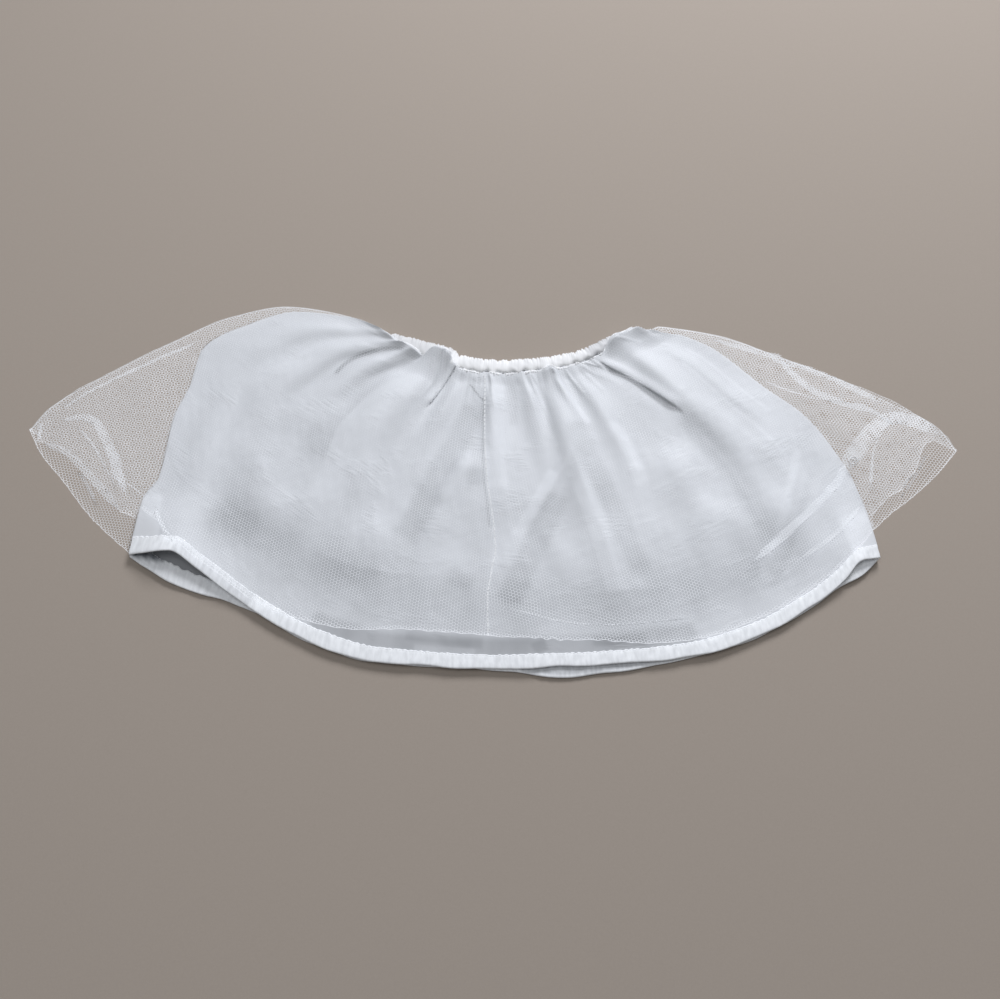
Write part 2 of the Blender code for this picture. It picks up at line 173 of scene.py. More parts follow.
def at_least(low, share):
    """Turns a share from 0 to 1 into one from low to 1."""
    return low + (1.0 - low) * share


def between_ends(share, fade, start=0.0):
    """0 at both ends of a line and 1 between them, with a soft step at each end."""
    return ease(start, fade, share) * ease(start, fade, 1.0 - share)


def through(rows, column):
    """A function of the table's first column that runs smoothly through another one, with no overshoot."""
    knots = np.array([row[0] for row in rows], float)
    values = np.array([getattr(row, column) for row in rows], float)
    spans = np.diff(knots)
    rises = np.diff(values) / spans
    slopes = np.concatenate([rises[:1], np.zeros(len(rises) - 1), rises[-1:]])
    for i in range(1, len(rises)):
        if rises[i - 1] * rises[i] > 0:
            near = 2 * spans[i] + spans[i - 1]
            far = spans[i] + 2 * spans[i - 1]
            slopes[i] = (near + far) / (near / rises[i - 1] + far / rises[i])

    def at(share):
        share = np.clip(share, knots[0], knots[-1])
        i = np.clip(np.searchsorted(knots, share, side="right") - 1, 0, len(spans) - 1)
        t = (share - knots[i]) / spans[i]
        near = values[i] * (1 + 2 * t) + slopes[i] * spans[i] * t
        far = values[i + 1] * (3 - 2 * t) - slopes[i + 1] * spans[i] * (1 - t)
        return near * (1 - t) ** 2 + far * t**2

    return at


def curve(rows, prefix=""):
    """A function that gives points (x, y) on the smooth curve through a table."""
    x = through(rows, prefix + "x")
    y = through(rows, prefix + "y")
    return lambda share: np.stack([x(share), y(share)], axis=-1)


def walked(line):
    """How far along a line of points each of them lies."""
    return np.concatenate([[0.0], np.cumsum(np.linalg.norm(np.diff(line, axis=0), axis=1))])


WAIST_LINE = curve(WAIST)
HEM_LINE = {"front": curve(HEM, "front_"), "back": curve(HEM, "back_")}
SATIN_SIDES = (curve(LEFT_SATIN), curve(RIGHT_SATIN))
NET_SIDES = (curve(LEFT_NET), curve(RIGHT_NET))
NET_HEM_SHARE = {"front": through(NET_HEM, "front"), "back": through(NET_HEM, "back")}
WING_HEMS = {
    "front": (curve(LEFT_WING_HEM, "front_"), curve(RIGHT_WING_HEM, "front_")),
    "back": (curve(LEFT_WING_HEM, "back_"), curve(RIGHT_WING_HEM, "back_")),
}
CORNER_LIFT = through(HEM, "lift")
SEAM_ACROSS = through(NET_SEAM, "across")


def bow(line, down):
    """How far a side line lies from the straight line between its own ends."""
    share = down[..., None]
    return line(down) - (1 - share) * line(0.0) - share * line(1.0)


def skirt_plan(across, down, side):
    """Points (x, y) of the laid skirt. side is "front" or "back"."""
    share = down[..., None]
    hem = HEM_LINE["back"](across)
    if side == "front":
        hem = hem + ease(PANELS_PART, 1.0, share) * (HEM_LINE["front"](across) - hem)
    left = ((1 - across) ** BOW_FADE)[..., None] * bow(SATIN_SIDES[0], down)
    right = (across**BOW_FADE)[..., None] * bow(SATIN_SIDES[1], down)
    return (1 - share) * WAIST_LINE(across) + share * hem + left + right


# %% [markdown]
# ## Folds
# A gathered skirt has three sizes of fold. A few large ridges run down from the waist and die away before
# the hem; some of them lean over sideways, which gives one soft side and one dark, sharp side. Between them
# lie creases pressed by storage. At the waist seam the cloth is packed into dozens of tiny gathers. Each
# large fold and crease is listed in a table. The tiny gathers come from a seeded list of random numbers,
# because nobody places those one by one.

# %% Large folds and creases of the satin
Fold = namedtuple("Fold", "top foot starts reach height width lean", defaults=(0.0,))
SATIN_FOLDS = rows_of(
    Fold,
    (0.05, 0.04, 0.00, 0.60, 2.5, 0.026), (0.11, 0.10, 0.00, 0.85, 4.0, 0.030),
    (0.18, 0.17, 0.00, 0.55, 4.0, 0.022, -3.0), (0.28, 0.22, 0.00, 0.95, 7.0, 0.044, 7.0),
    (0.39, 0.33, 0.00, 0.60, 3.5, 0.020, -2.0), (0.45, 0.38, 0.30, 0.70, 3.5, 0.028),
    (0.48, 0.49, 0.00, 0.60, 4.5, 0.022, -2.0), (0.57, 0.59, 0.00, 0.50, 3.0, 0.020),
    (0.64, 0.66, 0.00, 0.95, 6.0, 0.034, -2.0), (0.71, 0.75, 0.00, 0.65, 4.0, 0.024),
    (0.80, 0.79, 0.35, 0.90, 3.0, 0.030), (0.88, 0.91, 0.00, 0.92, 6.0, 0.032, -7.0),
    (0.95, 0.96, 0.10, 0.70, 2.5, 0.024),
)
# Ridges and troughs that are too small for the solids.
SATIN_CREASES = rows_of(
    Fold,
    (0.34, 0.33, 0.00, 0.34, -2.4, 0.013), (0.21, 0.19, 0.05, 0.45, -2.4, 0.012),
    (0.44, 0.34, 0.12, 0.65, -2.0, 0.026), (0.44, 0.39, 0.30, 0.56, 0.8, 0.018),
    (0.53, 0.55, 0.02, 0.40, -1.2, 0.016), (0.65, 0.69, 0.02, 0.30, 1.6, 0.012),
    (0.66, 0.48, 0.30, 0.84, -1.8, 0.026), (0.65, 0.51, 0.30, 0.62, 1.4, 0.013),
    (0.80, 0.87, 0.03, 0.40, -2.8, 0.014), (0.87, 0.85, 0.34, 0.82, -1.8, 0.028),
    (0.07, 0.07, 0.10, 0.70, -1.6, 0.016), (0.14, 0.13, 0.05, 0.60, -1.6, 0.012),
    (0.25, 0.18, 0.30, 0.90, -1.8, 0.018), (0.60, 0.62, 0.04, 0.40, -1.6, 0.012),
    (0.76, 0.72, 0.20, 0.70, -1.8, 0.016), (0.30, 0.33, 0.55, 0.95, 1.4, 0.022),
    (0.56, 0.61, 0.50, 0.93, 1.3, 0.020), (0.82, 0.87, 0.60, 0.97, 1.4, 0.018),
    (0.12, 0.17, 0.55, 0.95, 1.2, 0.018),
)
# Share of a fold's height that is already there at the waist seam, and how far along it is at its highest.
SEWN_HEIGHT, FOLD_CREST = 0.35, 0.25


def fold_profile(fold, across, down):
    """One fold: 1 on its crest, 0 away from it."""
    along = (down - fold.starts) / (fold.reach - fold.starts)
    middle = fold.top + (fold.foot - fold.top) * along
    sewn = SEWN_HEIGHT if fold.starts == 0.0 else 0.0
    swell = at_least(sewn, ease(0.0, FOLD_CREST, along))
    fading = 1.0 - ease(FOLD_CREST, 1.0, along)
    return swell * fading * np.exp(-(((across - middle) / fold.width) ** 2))


def folded(folds, across, down):
    """Height and sideways lean of a family of folds, faded towards the side folds."""
    inside = between_ends(across, FOLDS_FADE)
    height = np.zeros(np.broadcast(across, down).shape)
    lean = height.copy()
    for fold in folds:
        profile = inside * fold_profile(fold, across, down)
        height += fold.height * profile
        lean += fold.lean * profile
    return height, lean


# %% Tiny gathers at the waist seam, and slow waves of the whole cloth
def scattered(seed, count):
    """A seeded source of random numbers, and that many of them for a first column."""
    source = np.random.default_rng(seed)
    return source, source.random(count)


GATHER_COUNT, LONGEST_GATHER = 40, 0.24
# The share across of the first gather, and how far all of them spread at the seam and at their feet.
GATHERS_START, GATHERS_SPREAD, FEET_SPREAD = 0.30, 0.56, 0.60
random_gathers, gather_places = scattered(7, GATHER_COUNT)
SATIN_GATHERS = [
    Fold(
        top=GATHERS_START + GATHERS_SPREAD * place,
        foot=GATHERS_START + FEET_SPREAD * place + random_gathers.normal(0.0, 0.012),
        starts=0.0,
        reach=0.05 + LONGEST_GATHER * random_gathers.random() ** 2,
        height=random_gathers.uniform(0.2, 1.1),
        width=random_gathers.uniform(0.004, 0.010),
    )
    for place in gather_places
]


WAVE_DIRECTIONS = 9


def waves(x, y, length, seed):
    """Slow waves from about -1 to 1: plane waves of about one length, in random directions."""
    source, phases = scattered(seed, WAVE_DIRECTIONS)
    total = np.zeros(np.broadcast(x, y).shape)
    for phase in phases:
        angle = source.uniform(0.0, math.tau)
        spacing = length * source.uniform(0.7, 1.4)
        total += np.sin(math.tau * ((x * math.cos(angle) + y * math.sin(angle)) / spacing + phase))
    return total / math.sqrt(2.0 * WAVE_DIRECTIONS)


# A family of waves: how high, how long, and which one of a piece's own seeds it starts from.
Wave = namedtuple("Wave", "height length seed")


def waved(wave, seed, x, y=0.0):
    """Waves of one family at places (x, y), or at places along a line."""
    return wave.height * waves(x, y, wave.length, seed + wave.seed)


print(len(SATIN_FOLDS), "folds,", len(SATIN_CREASES), "creases and", GATHER_COUNT, "gathers")

# %% [markdown]
# ## Laps
# Where cloth is pressed flat it doubles back on itself: seen from above, a band lies three layers thick,
# with a sharp edge on each side. This is what gives net its white streaks and satin its hard dark lines. A
# crease drawn as a bump can't do that, so a lap moves the cloth sideways until it folds over. Across the
# lap's line the sheet runs forward, back and forward again, and it climbs as it goes, so the three layers
# lie apart.

# %% Lines on the cloth
# From one place on the skirt to another. bow: how far its middle lies to the right of the straight way.
Line = namedtuple("Line", "across down to_across to_down bow side", defaults=(0.0, "front"))
LINE_STEPS = 7


def smoothed(line, steps=8):
    """The same line with more points on a smooth curve through them."""
    line = np.array(line, float)
    padded = np.concatenate([2 * line[:1] - line[1:2], line, 2 * line[-1:] - line[-2:-1]])
    t = np.linspace(0.0, 1.0, steps, endpoint=False)[:, None]
    parts = []
    for a, b, c, d in zip(padded, padded[1:], padded[2:], padded[3:]):
        bend = (2 * a - 5 * b + 4 * c - d) * t**2 + (3 * b - a - 3 * c + d) * t**3
        parts.append(0.5 * (2 * b + (c - a) * t + bend))
    return np.concatenate(parts + [line[-1:]])


def drawn(line):
    """A line as points (x, y): either a Line on the satin, or a few places (x, y) beside it."""
    if not isinstance(line, Line):
        return smoothed(line)
    t = np.linspace(0.0, 1.0, LINE_STEPS)
    across = line.across + (line.to_across - line.across) * t + 4 * line.bow * t * (1 - t)
    return smoothed(skirt_plan(across, line.down + (line.to_down - line.down) * t, line.side))


def beside_line(places, line):
    """For places (x, y): distance to a line, above 0 on its left, how far along it, the way to its left, and
    the line's length."""
    best = np.full(len(places), np.inf)
    side = np.zeros(len(places))
    share = np.zeros(len(places))
    to_left = np.zeros((len(places), 2))
    lengths = np.linalg.norm(np.diff(line, axis=0), axis=1)
    starts = walked(line)
    for i, (start, stop) in enumerate(zip(line, line[1:])):
        step = stop - start
        t = np.clip(((places - start) @ step) / (step @ step), 0.0, 1.0)
        away = places - start - t[:, None] * step
        distance = np.linalg.norm(away, axis=1)
        nearer = distance < best
        best[nearer] = distance[nearer]
        turn = step[0] * away[:, 1] - step[1] * away[:, 0]
        side[nearer] = np.sign(turn[nearer])
        share[nearer] = ((starts[i] + t * lengths[i]) / starts[-1])[nearer]
        to_left[nearer] = np.array([-step[1], step[0]]) / lengths[i]
    return best * side, share, to_left, lengths.sum()


def near_lines(plan, rows, reach):
    """Goes through a table of things on lines. Gives each row with a mask of the places (x, y) that it can
    reach, and with what beside_line says of them. reach: a function that gives a row's reach."""
    places = plan.reshape(-1, 2)
    for row in rows:
        line = drawn(row.line)
        margin = reach(row)
        near = np.all((places > line.min(axis=0) - margin) & (places < line.max(axis=0) + margin), axis=1)
        if near.any():
            yield row, near, *beside_line(places[near], line)


# %% Cloth that doubles back along a line
# lap: width of the doubled band. height: how far its top layer stands up. over: 1 where the cloth on the
# left of the line lies on top, -1 for the right, for someone who walks from its first point to its last.
# sewn: True where the lap starts at a seam at its full width, and False where it grows out of flat cloth.
Lap = namedtuple("Lap", "lap height over line sewn", defaults=(False,))
SATIN_LAPS = rows_of(
    Lap,
    (3.2, 3.4, 1, Line(0.80, 0.01, 0.86, 0.36, 0.005)),
    (2.2, 1.6, -1, Line(0.345, 0.00, 0.330, 0.21), True),
)
# A band is this many times as wide as the reach of the curve that folds the cloth over, and the cloth moves
# this many times that reach. The top layer's height spreads over so many reaches.
BAND_PER_REACH, PULL_PER_REACH, LAP_SPREAD = 1.6, 3.3, 3.0
# How sharply the top layer starts, and the share of a lap's length over which the lap grows.
LAP_STEEPNESS, LAP_GROWS = 3.0, 0.22
# How far a lap shifts the threads of its top layer, along it and sideways, and over how many reaches.
PHASE_ALONG, PHASE_ASIDE, PHASE_SPREAD = 1.1, 0.8, 5.0


def reach_of(lap):
    """Reach of the curve that folds a lap over."""
    return lap.lap / BAND_PER_REACH


def lap_phase(plan, laps):
    """How far a lap's top layer is shifted along it, so the threads of its layers don't hide each other."""
    phase = np.zeros((plan[..., 0].size, 2))
    for lap, near, distance, _, to_left, _ in near_lines(plan, laps, lambda lap: 12.0 * reach_of(lap)):
        t = distance / reach_of(lap)
        climb = np.exp(-((t / PHASE_SPREAD) ** 2)) / (1.0 + np.exp(-LAP_STEEPNESS * lap.over * t))
        along = np.stack([to_left[:, 1], -to_left[:, 0]], axis=-1)
        phase[near] += climb[:, None] * (PHASE_ALONG * along + PHASE_ASIDE * to_left)
    return phase.reshape(plan.shape)


def lapped(plan, laps):
    """How far sideways and how far up a list of laps moves points (x, y)."""
    shift = np.zeros((plan[..., 0].size, 2))
    height = np.zeros(len(shift))
    for lap, near, distance, share, to_left, _ in near_lines(plan, laps, lambda lap: 4.0 * reach_of(lap)):
        strength = ease(0.0, LAP_GROWS, 1.0 - share) * (1.0 if lap.sewn else ease(0.0, LAP_GROWS, share))
        t = distance / reach_of(lap)
        pull = PULL_PER_REACH * reach_of(lap) * t * np.exp(-(t**2)) * strength
        shift[near] -= pull[:, None] * to_left
        climb = 1.0 / (1.0 + np.exp(-LAP_STEEPNESS * lap.over * t))
        height[near] += lap.height * strength * np.exp(-((t / LAP_SPREAD) ** 2)) * climb
    return shift.reshape(plan.shape), height.reshape(plan.shape[:-1])


# %% Sharp crests
# A crest is a soft fold with a pressed edge. It falls away over one width to the left of its line and over
# another to the right, so the two sides meet the light at different angles.
Crest = namedtuple("Crest", "height left right line")
SATIN_CRESTS = rows_of(
    Crest,
    (1.2, 26.0, 9.0, Line(0.25, 0.03, 0.22, 0.62)),
    (1.0, 9.0, 24.0, Line(0.42, 0.10, 0.33, 0.60)),
    (0.8, 22.0, 8.0, Line(0.44, 0.34, 0.385, 0.54)),
    (0.8, 20.0, 8.0, Line(0.40, 0.52, 0.34, 0.78)),
    (0.9, 7.0, 20.0, Line(0.07, 0.28, 0.06, 0.76)),
    (0.8, 12.0, 6.0, Line(0.13, 0.60, 0.15, 0.68)),
    (0.8, 22.0, 8.0, Line(0.24, 0.60, 0.10, 0.82)),
    (0.8, 8.0, 18.0, Line(0.50, 0.03, 0.495, 0.45)),
    (1.0, 7.0, 22.0, Line(0.64, 0.30, 0.66, 0.78)),
    (0.8, 7.0, 16.0, Line(0.60, 0.38, 0.49, 0.78)),
    (0.8, 10.0, 8.0, Line(0.725, 0.26, 0.725, 0.50, 0.012)),
    (1.0, 24.0, 8.0, Line(0.86, 0.36, 0.86, 0.80)),
    (0.8, 8.0, 20.0, Line(0.90, 0.28, 0.93, 0.72)),
    (0.8, 8.0, 20.0, Line(0.93, 0.06, 0.955, 0.52)),
    (0.8, 18.0, 7.0, Line(0.975, 0.62, 0.80, 0.86)),
    (0.7, 8.0, 20.0, Line(0.20, 0.78, 0.42, 0.74)),
    (0.7, 20.0, 8.0, Line(0.55, 0.78, 0.75, 0.80)),
)
# The share of a crest's length over which it grows, how blunt its edge is, and what that takes off its top.
CREST_GROWS, CREST_BLUNT, CREST_TOP = 0.3, 0.003, 0.055


def widest(row):
    """The wider of a crest's or a band's two sides."""
    return max(row.left, row.right)


def crested(plan, crests):
    """How far up a list of crests lifts points (x, y)."""
    height = np.zeros(plan[..., 0].size)
    for crest, near, distance, share, *_ in near_lines(plan, crests, lambda crest: 3.5 * widest(crest)):
        width = np.where(distance > 0.0, crest.left, crest.right)
        edge = np.exp(-np.sqrt((distance / width) ** 2 + CREST_BLUNT) + CREST_TOP)
        height[near] += crest.height * between_ends(share, CREST_GROWS) * edge
    return height.reshape(plan.shape[:-1])


print(len(SATIN_LAPS), "laps and", len(SATIN_CRESTS), "crests pressed into the satin")

# %% [markdown]
# ## Painted shade and painted light
# The shade of the satin's folds and its lighter places are painted into its colour as bands along lines,
# sharp along a fold's edge and soft elsewhere: painted shade beside and along folds, over the lower part and
# in the strip just above the hem, and painted light at the corners and along a few thin lines. The hem bands
# and the back panel get painted shade inside the lifted left corner and under the front hem, and the casing
# towards its ends. Each band has its own softness to the left and to the right, and every point of the cloth
# keeps how much painted shade it has for the material to use.

# %% Bands of painted shade and painted light
# depth: how much painted shade, or painted light below 0. half: half the band's width. left, right: how
# softly it ends.
PaintedBand = namedtuple("PaintedBand", "depth half left right line")
# Painted shade where depth is above 0 and painted light where it is below 0.
SATIN_PAINTED_SHADE_AND_LIGHT = rows_of(
    PaintedBand,
    # The sharp fold at the left end of the waist.
    (0.45, 2.0, 1.8, 1.2, Line(0.13, 0.01, 0.15, 0.27, -0.008)),
    (0.14, 7.0, 7.0, 2.0, Line(0.14, 0.10, 0.16, 0.30)),
    # Beside and on the large fold left of the middle, and the folds below it.
    (0.14, 9.0, 1.5, 8.0, Line(0.21, 0.12, 0.20, 0.55)),
    (-0.10, 14.0, 10.0, 1.5, Line(0.255, 0.10, 0.235, 0.55)),
    (0.22, 11.0, 5.0, 5.0, Line(0.44, 0.14, 0.345, 0.66)),
    (0.16, 6.0, 3.0, 3.0, Line(0.45, 0.30, 0.445, 0.46)),
    (-0.08, 5.0, 3.0, 3.0, Line(0.43, 0.36, 0.39, 0.52)),
    (0.12, 9.0, 6.0, 6.0, Line(0.12, 0.48, 0.20, 0.46)),
    (0.14, 12.0, 8.0, 8.0, Line(0.08, 0.80, 0.20, 0.82)),
    (0.12, 10.0, 8.0, 8.0, Line(0.25, 0.78, 0.33, 0.78)),
    (0.16, 8.0, 4.0, 4.0, Line(0.40, 0.73, 0.44, 0.77)),
    # Along the seam of the net and right of it.
    (0.26, 1.2, 1.0, 1.0, Line(0.455, 0.10, 0.465, 0.58)),
    (-0.12, 9.0, 1.5, 1.5, Line(0.48, 0.00, 0.485, 0.45)),
    (-0.22, 2.6, 1.0, 1.5, Line(0.65, 0.02, 0.69, 0.25)),
    (0.50, 0.9, 0.7, 0.7, Line(0.41, 0.06, 0.455, 0.13)),
    (0.16, 4.0, 2.0, 2.0, Line(0.53, 0.04, 0.53, 0.22)),
    (0.20, 9.0, 4.0, 4.0, Line(0.66, 0.22, 0.69, 0.76)),
    (-0.14, 8.0, 4.0, 1.5, Line(0.64, 0.42, 0.655, 0.80)),
    (0.20, 10.0, 4.0, 4.0, Line(0.60, 0.45, 0.48, 0.82)),
    (-0.14, 5.0, 1.5, 1.5, Line(0.60, 0.38, 0.51, 0.60)),
    (-0.16, 6.0, 3.0, 3.0, Line(0.73, 0.26, 0.73, 0.50, 0.010)),
    (-0.08, 17.0, 10.0, 10.0, Line(0.78, 0.36, 0.80, 0.68)),
    (0.15, 9.0, 5.0, 5.0, Line(0.86, 0.34, 0.86, 0.80)),
    (-0.10, 6.0, 3.0, 3.0, Line(0.885, 0.52, 0.90, 0.76)),
    # Thin lines near the right edge, streaks below the right wing, and painted light at the corners.
    (-0.12, 1.6, 1.0, 1.0, Line(0.93, 0.22, 0.94, 0.62)),
    (-0.12, 1.6, 1.0, 1.0, Line(0.97, 0.18, 0.975, 0.48)),
    (-0.12, 3.5, 2.0, 1.5, Line(0.965, 0.60, 0.83, 0.86)),
    (0.10, 3.0, 1.5, 2.0, Line(0.96, 0.68, 0.84, 0.90)),
    (-0.50, 12.0, 5.0, 5.0, Line(0.00, 0.84, 0.02, 0.99)),
    (-0.40, 11.0, 5.0, 5.0, Line(0.98, 0.84, 0.985, 0.99)),
    # Painted shade over the lower part, and deeper painted shade in the strip just above the hem.
    (0.27, 24.0, 20.0, 20.0, Line(0.06, 0.80, 0.94, 0.82)),
    (0.34, 9.0, 4.0, 2.0, Line(0.25, 0.95, 0.74, 0.94)),
    (0.06, 5.0, 3.0, 3.0, Line(0.27, 0.95, 0.31, 0.95)),
    (0.14, 4.5, 2.0, 2.0, Line(0.36, 0.92, 0.45, 0.93)),
    (-0.16, 3.0, 1.5, 1.5, Line(0.37, 0.955, 0.44, 0.955)),
    (0.16, 5.0, 2.0, 2.0, Line(0.52, 0.95, 0.55, 0.93)),
    (0.16, 4.0, 2.0, 2.0, Line(0.61, 0.93, 0.68, 0.94)),
)
# Painted shade on the back panel inside the left corner's mouth, under the lifted front.
SATIN_BACK_PAINTED_SHADE = [PaintedBand(0.80, 14.0, 2.0, 3.0, Line(0.00, 0.93, 0.17, 0.94, 0.0, "back"))]
# Painted shade on the front hem's band near the left corner, where it rolls under.
HEM_FRONT_PAINTED_SHADE = [PaintedBand(0.20, 9.0, 2.0, 2.0, Line(0.06, 0.99, 0.18, 0.99))]
# Painted shade on the back hem in the left corner's mouth, and a painted shadow of the front hem in the
# middle.
HEM_BACK_PAINTED_SHADE = rows_of(
    PaintedBand,
    (0.90, 4.0, 2.2, 2.2, Line(0.00, 0.99, 0.06, 0.955, 0.0, "back")),
    (0.40, 4.0, 1.5, 1.5, Line(0.50, 0.98, 0.72, 0.98, 0.0, "back")),
)
# Painted shade on the casing towards both its ends.
CASING_PAINTED_SHADE = rows_of(
    PaintedBand,
    (0.30, 22.0, 4.0, 4.0, Line(0.00, 0.00, 0.34, 0.00)),
    (0.34, 22.0, 4.0, 4.0, Line(0.78, 0.00, 1.00, 0.00)),
)


def band_reach(tone):
    """How far from its line a band of painted shade or painted light reaches."""
    return tone.half + widest(tone)


def painted_shade_at(plan, tones):
    """How much painted shade a list of bands puts on places (x, y); below 0 it is painted light."""
    grey = np.zeros(plan[..., 0].size)
    for tone, near, distance, share, _, length in near_lines(plan, tones, band_reach):
        soft = np.where(distance > 0.0, tone.left, tone.right)
        fading = 1.0 - ease(tone.half - soft, tone.half + soft, np.abs(distance))
        grey[near] += tone.depth * between_ends(share, 2.0 * widest(tone) / length) * fading
    return grey.reshape(plan.shape[:-1])


print(len(SATIN_PAINTED_SHADE_AND_LIGHT), "greyer and whiter places on the satin")

# %% [markdown]
# ## Heights
# The layers lie in this order from the floor up: back net, satin back, satin front, front net. Every layer
# starts above the thickness of those under it and adds its own gap and folds. The front net asks the satin
# front for its height, so it follows each of its folds.

# %% Height of each layer
def corner(across):
    """1 where the back net reaches under the satin's corners, 0 between them."""
    return 1.0 - between_ends(across, CORNER_START, CORNER_FULL)


def settle(height, lowest, softness=0.5):
    """Keeps cloth above what it lies on, with a soft landing instead of a kink."""
    return lowest + softness * np.logaddexp(0.0, (height - lowest) / softness)


def raised(plan, height):
    """Points from places (x, y) and the height at each."""
    return np.concatenate([plan, height[..., None]], axis=-1)


# The back comes down to the floor from this share to the stitch line. It has slow waves of its own.
DROP_START = 0.9 * STITCH_LINE
BACK_WAVE, BACK_WAVE_STARTS = Wave(0.35, 42.0, 21), 0.06


def satin_back_points(across, down):
    """Upper side of the satin back, which lies on the back net and, below the net's hem, on the floor."""
    plan = skirt_plan(across, down, "back")
    drop = ease(DROP_START, STITCH_LINE, down) * (1.0 - corner(across))
    height = SATIN_WALL + (NET_WALL + SEAM_GAP) * (1.0 - drop)
    slow = waved(BACK_WAVE, 0, plan[..., 0], plan[..., 1])
    return raised(plan, height + slow * ease(0.0, BACK_WAVE_STARTS, down))


# Places where a fold swells up over the casing: how far across, how wide, how far up and how high.
Puff = namedtuple("Puff", "across width rise lift")
PUFFS = rows_of(
    Puff,
    (0.03, 0.060, 5.0, 5.0),
    (0.15, 0.060, 6.0, 6.0),
    (0.29, 0.065, 16.0, 8.0),
    (0.64, 0.020, 2.0, 2.0),
    (0.91, 0.060, 7.5, 6.5),
    (0.98, 0.045, 2.5, 3.0),
)
PUFF_LENGTH = 0.12
# The seam is sewn to the middle of the casing's thickness, and the cloth comes down from it over this share.
SEAM_STANDS, SEAM_SLOPE = 2.0, 0.06
# A puff is this low where it is sewn, and reaches its height over this share.
PUFF_AT_SEAM, PUFF_GROWS = 0.45, 0.018


def puffed(across, down):
    """How far cloth near the waist seam rides up over the casing, and how high above it."""
    near_seam = 1.0 - ease(0.0, PUFF_LENGTH, down)
    rise = np.zeros(np.broadcast(across, down).shape)
    lift = SEAM_STANDS * (1.0 - ease(0.0, SEAM_SLOPE, down))
    for puff in PUFFS:
        share = np.exp(-(((across - puff.across) / puff.width) ** 4)) * near_seam
        rise += puff.rise * share
        lift = lift + puff.lift * share * at_least(PUFF_AT_SEAM, ease(0.0, PUFF_GROWS, down))
    return rise, lift


FRONT_LIES_ON = NET_WALL + SATIN_WALL + 2 * SEAM_GAP
# Shares down between which the front's corners climb over the back hem, and from which they stand open.
OVER_HEM, LIFT_START = (0.80, 0.93), 0.72
# Slow waves, which are weaker at the hem and die out, like the crests, at the side folds and the waist.
FRONT_WAVES = (Wave(0.7, 85.0, 3), Wave(0.25, 34.0, 4))
WAVES_END, WAVES_START, WAVES_AT_HEM = 0.05, 0.08, 0.6
# How far cloth may sink into the thickness of its own wall.
SINKS = 0.6


def satin_front_points(across, down):
    """Upper side of the satin front, with its folds, creases, gathers and lifted corners."""
    plan = skirt_plan(across, down, "front")
    over_hem = (HEM_WALL - SATIN_WALL) * corner(across) * ease(*OVER_HEM, down)
    lift = CORNER_LIFT(across) * np.clip((down - LIFT_START) / (1.0 - LIFT_START), 0.0, 1.1) ** 2
    height, lean = folded(SATIN_FOLDS, across, down)
    small, _ = folded(SATIN_CREASES, across, down)
    tiny, _ = folded(SATIN_GATHERS, across, down)
    rise, puff = puffed(across, down)
    inside = between_ends(across, WAVES_END) * ease(0.0, WAVES_START, down)
    slow = sum(waved(wave, 0, plan[..., 0], plan[..., 1]) for wave in FRONT_WAVES)
    slow = slow * inside * (1.0 - WAVES_AT_HEM * ease(0.9, 1.0, down))
    lying = FRONT_LIES_ON + SATIN_WALL + over_hem + lift
    moved = plan + np.stack([lean, rise], axis=-1)
    aside, step = lapped(moved, SATIN_LAPS)
    pressed = crested(plan, SATIN_CRESTS) * inside
    total = settle(lying + height + small + tiny + slow + puff + step + pressed, lying - SINKS)
    return raised(moved + aside, total)


SATIN_SURFACES = {"front": satin_front_points, "back": satin_back_points}

# %% [markdown]
# ## Nodes, colours and helpers
# Materials are made from nodes. A recipe adds them one by one, each fed by the ones before it. Colours are
# written as sRGB hex, as a colour picker shows them, and one function turns them into the linear numbers
# that the renderer works with.

# %% Recipes for materials
def linear(hex_colour):
    """An sRGB colour such as "#EDEFF3" as linear red, green, blue and alpha."""
    parts = [int(hex_colour[i : i + 2], 16) / 255.0 for i in (1, 3, 5)]
    return [p / 12.92 if p <= 0.04045 else ((p + 0.055) / 1.055) ** 2.4 for p in parts] + [1.0]


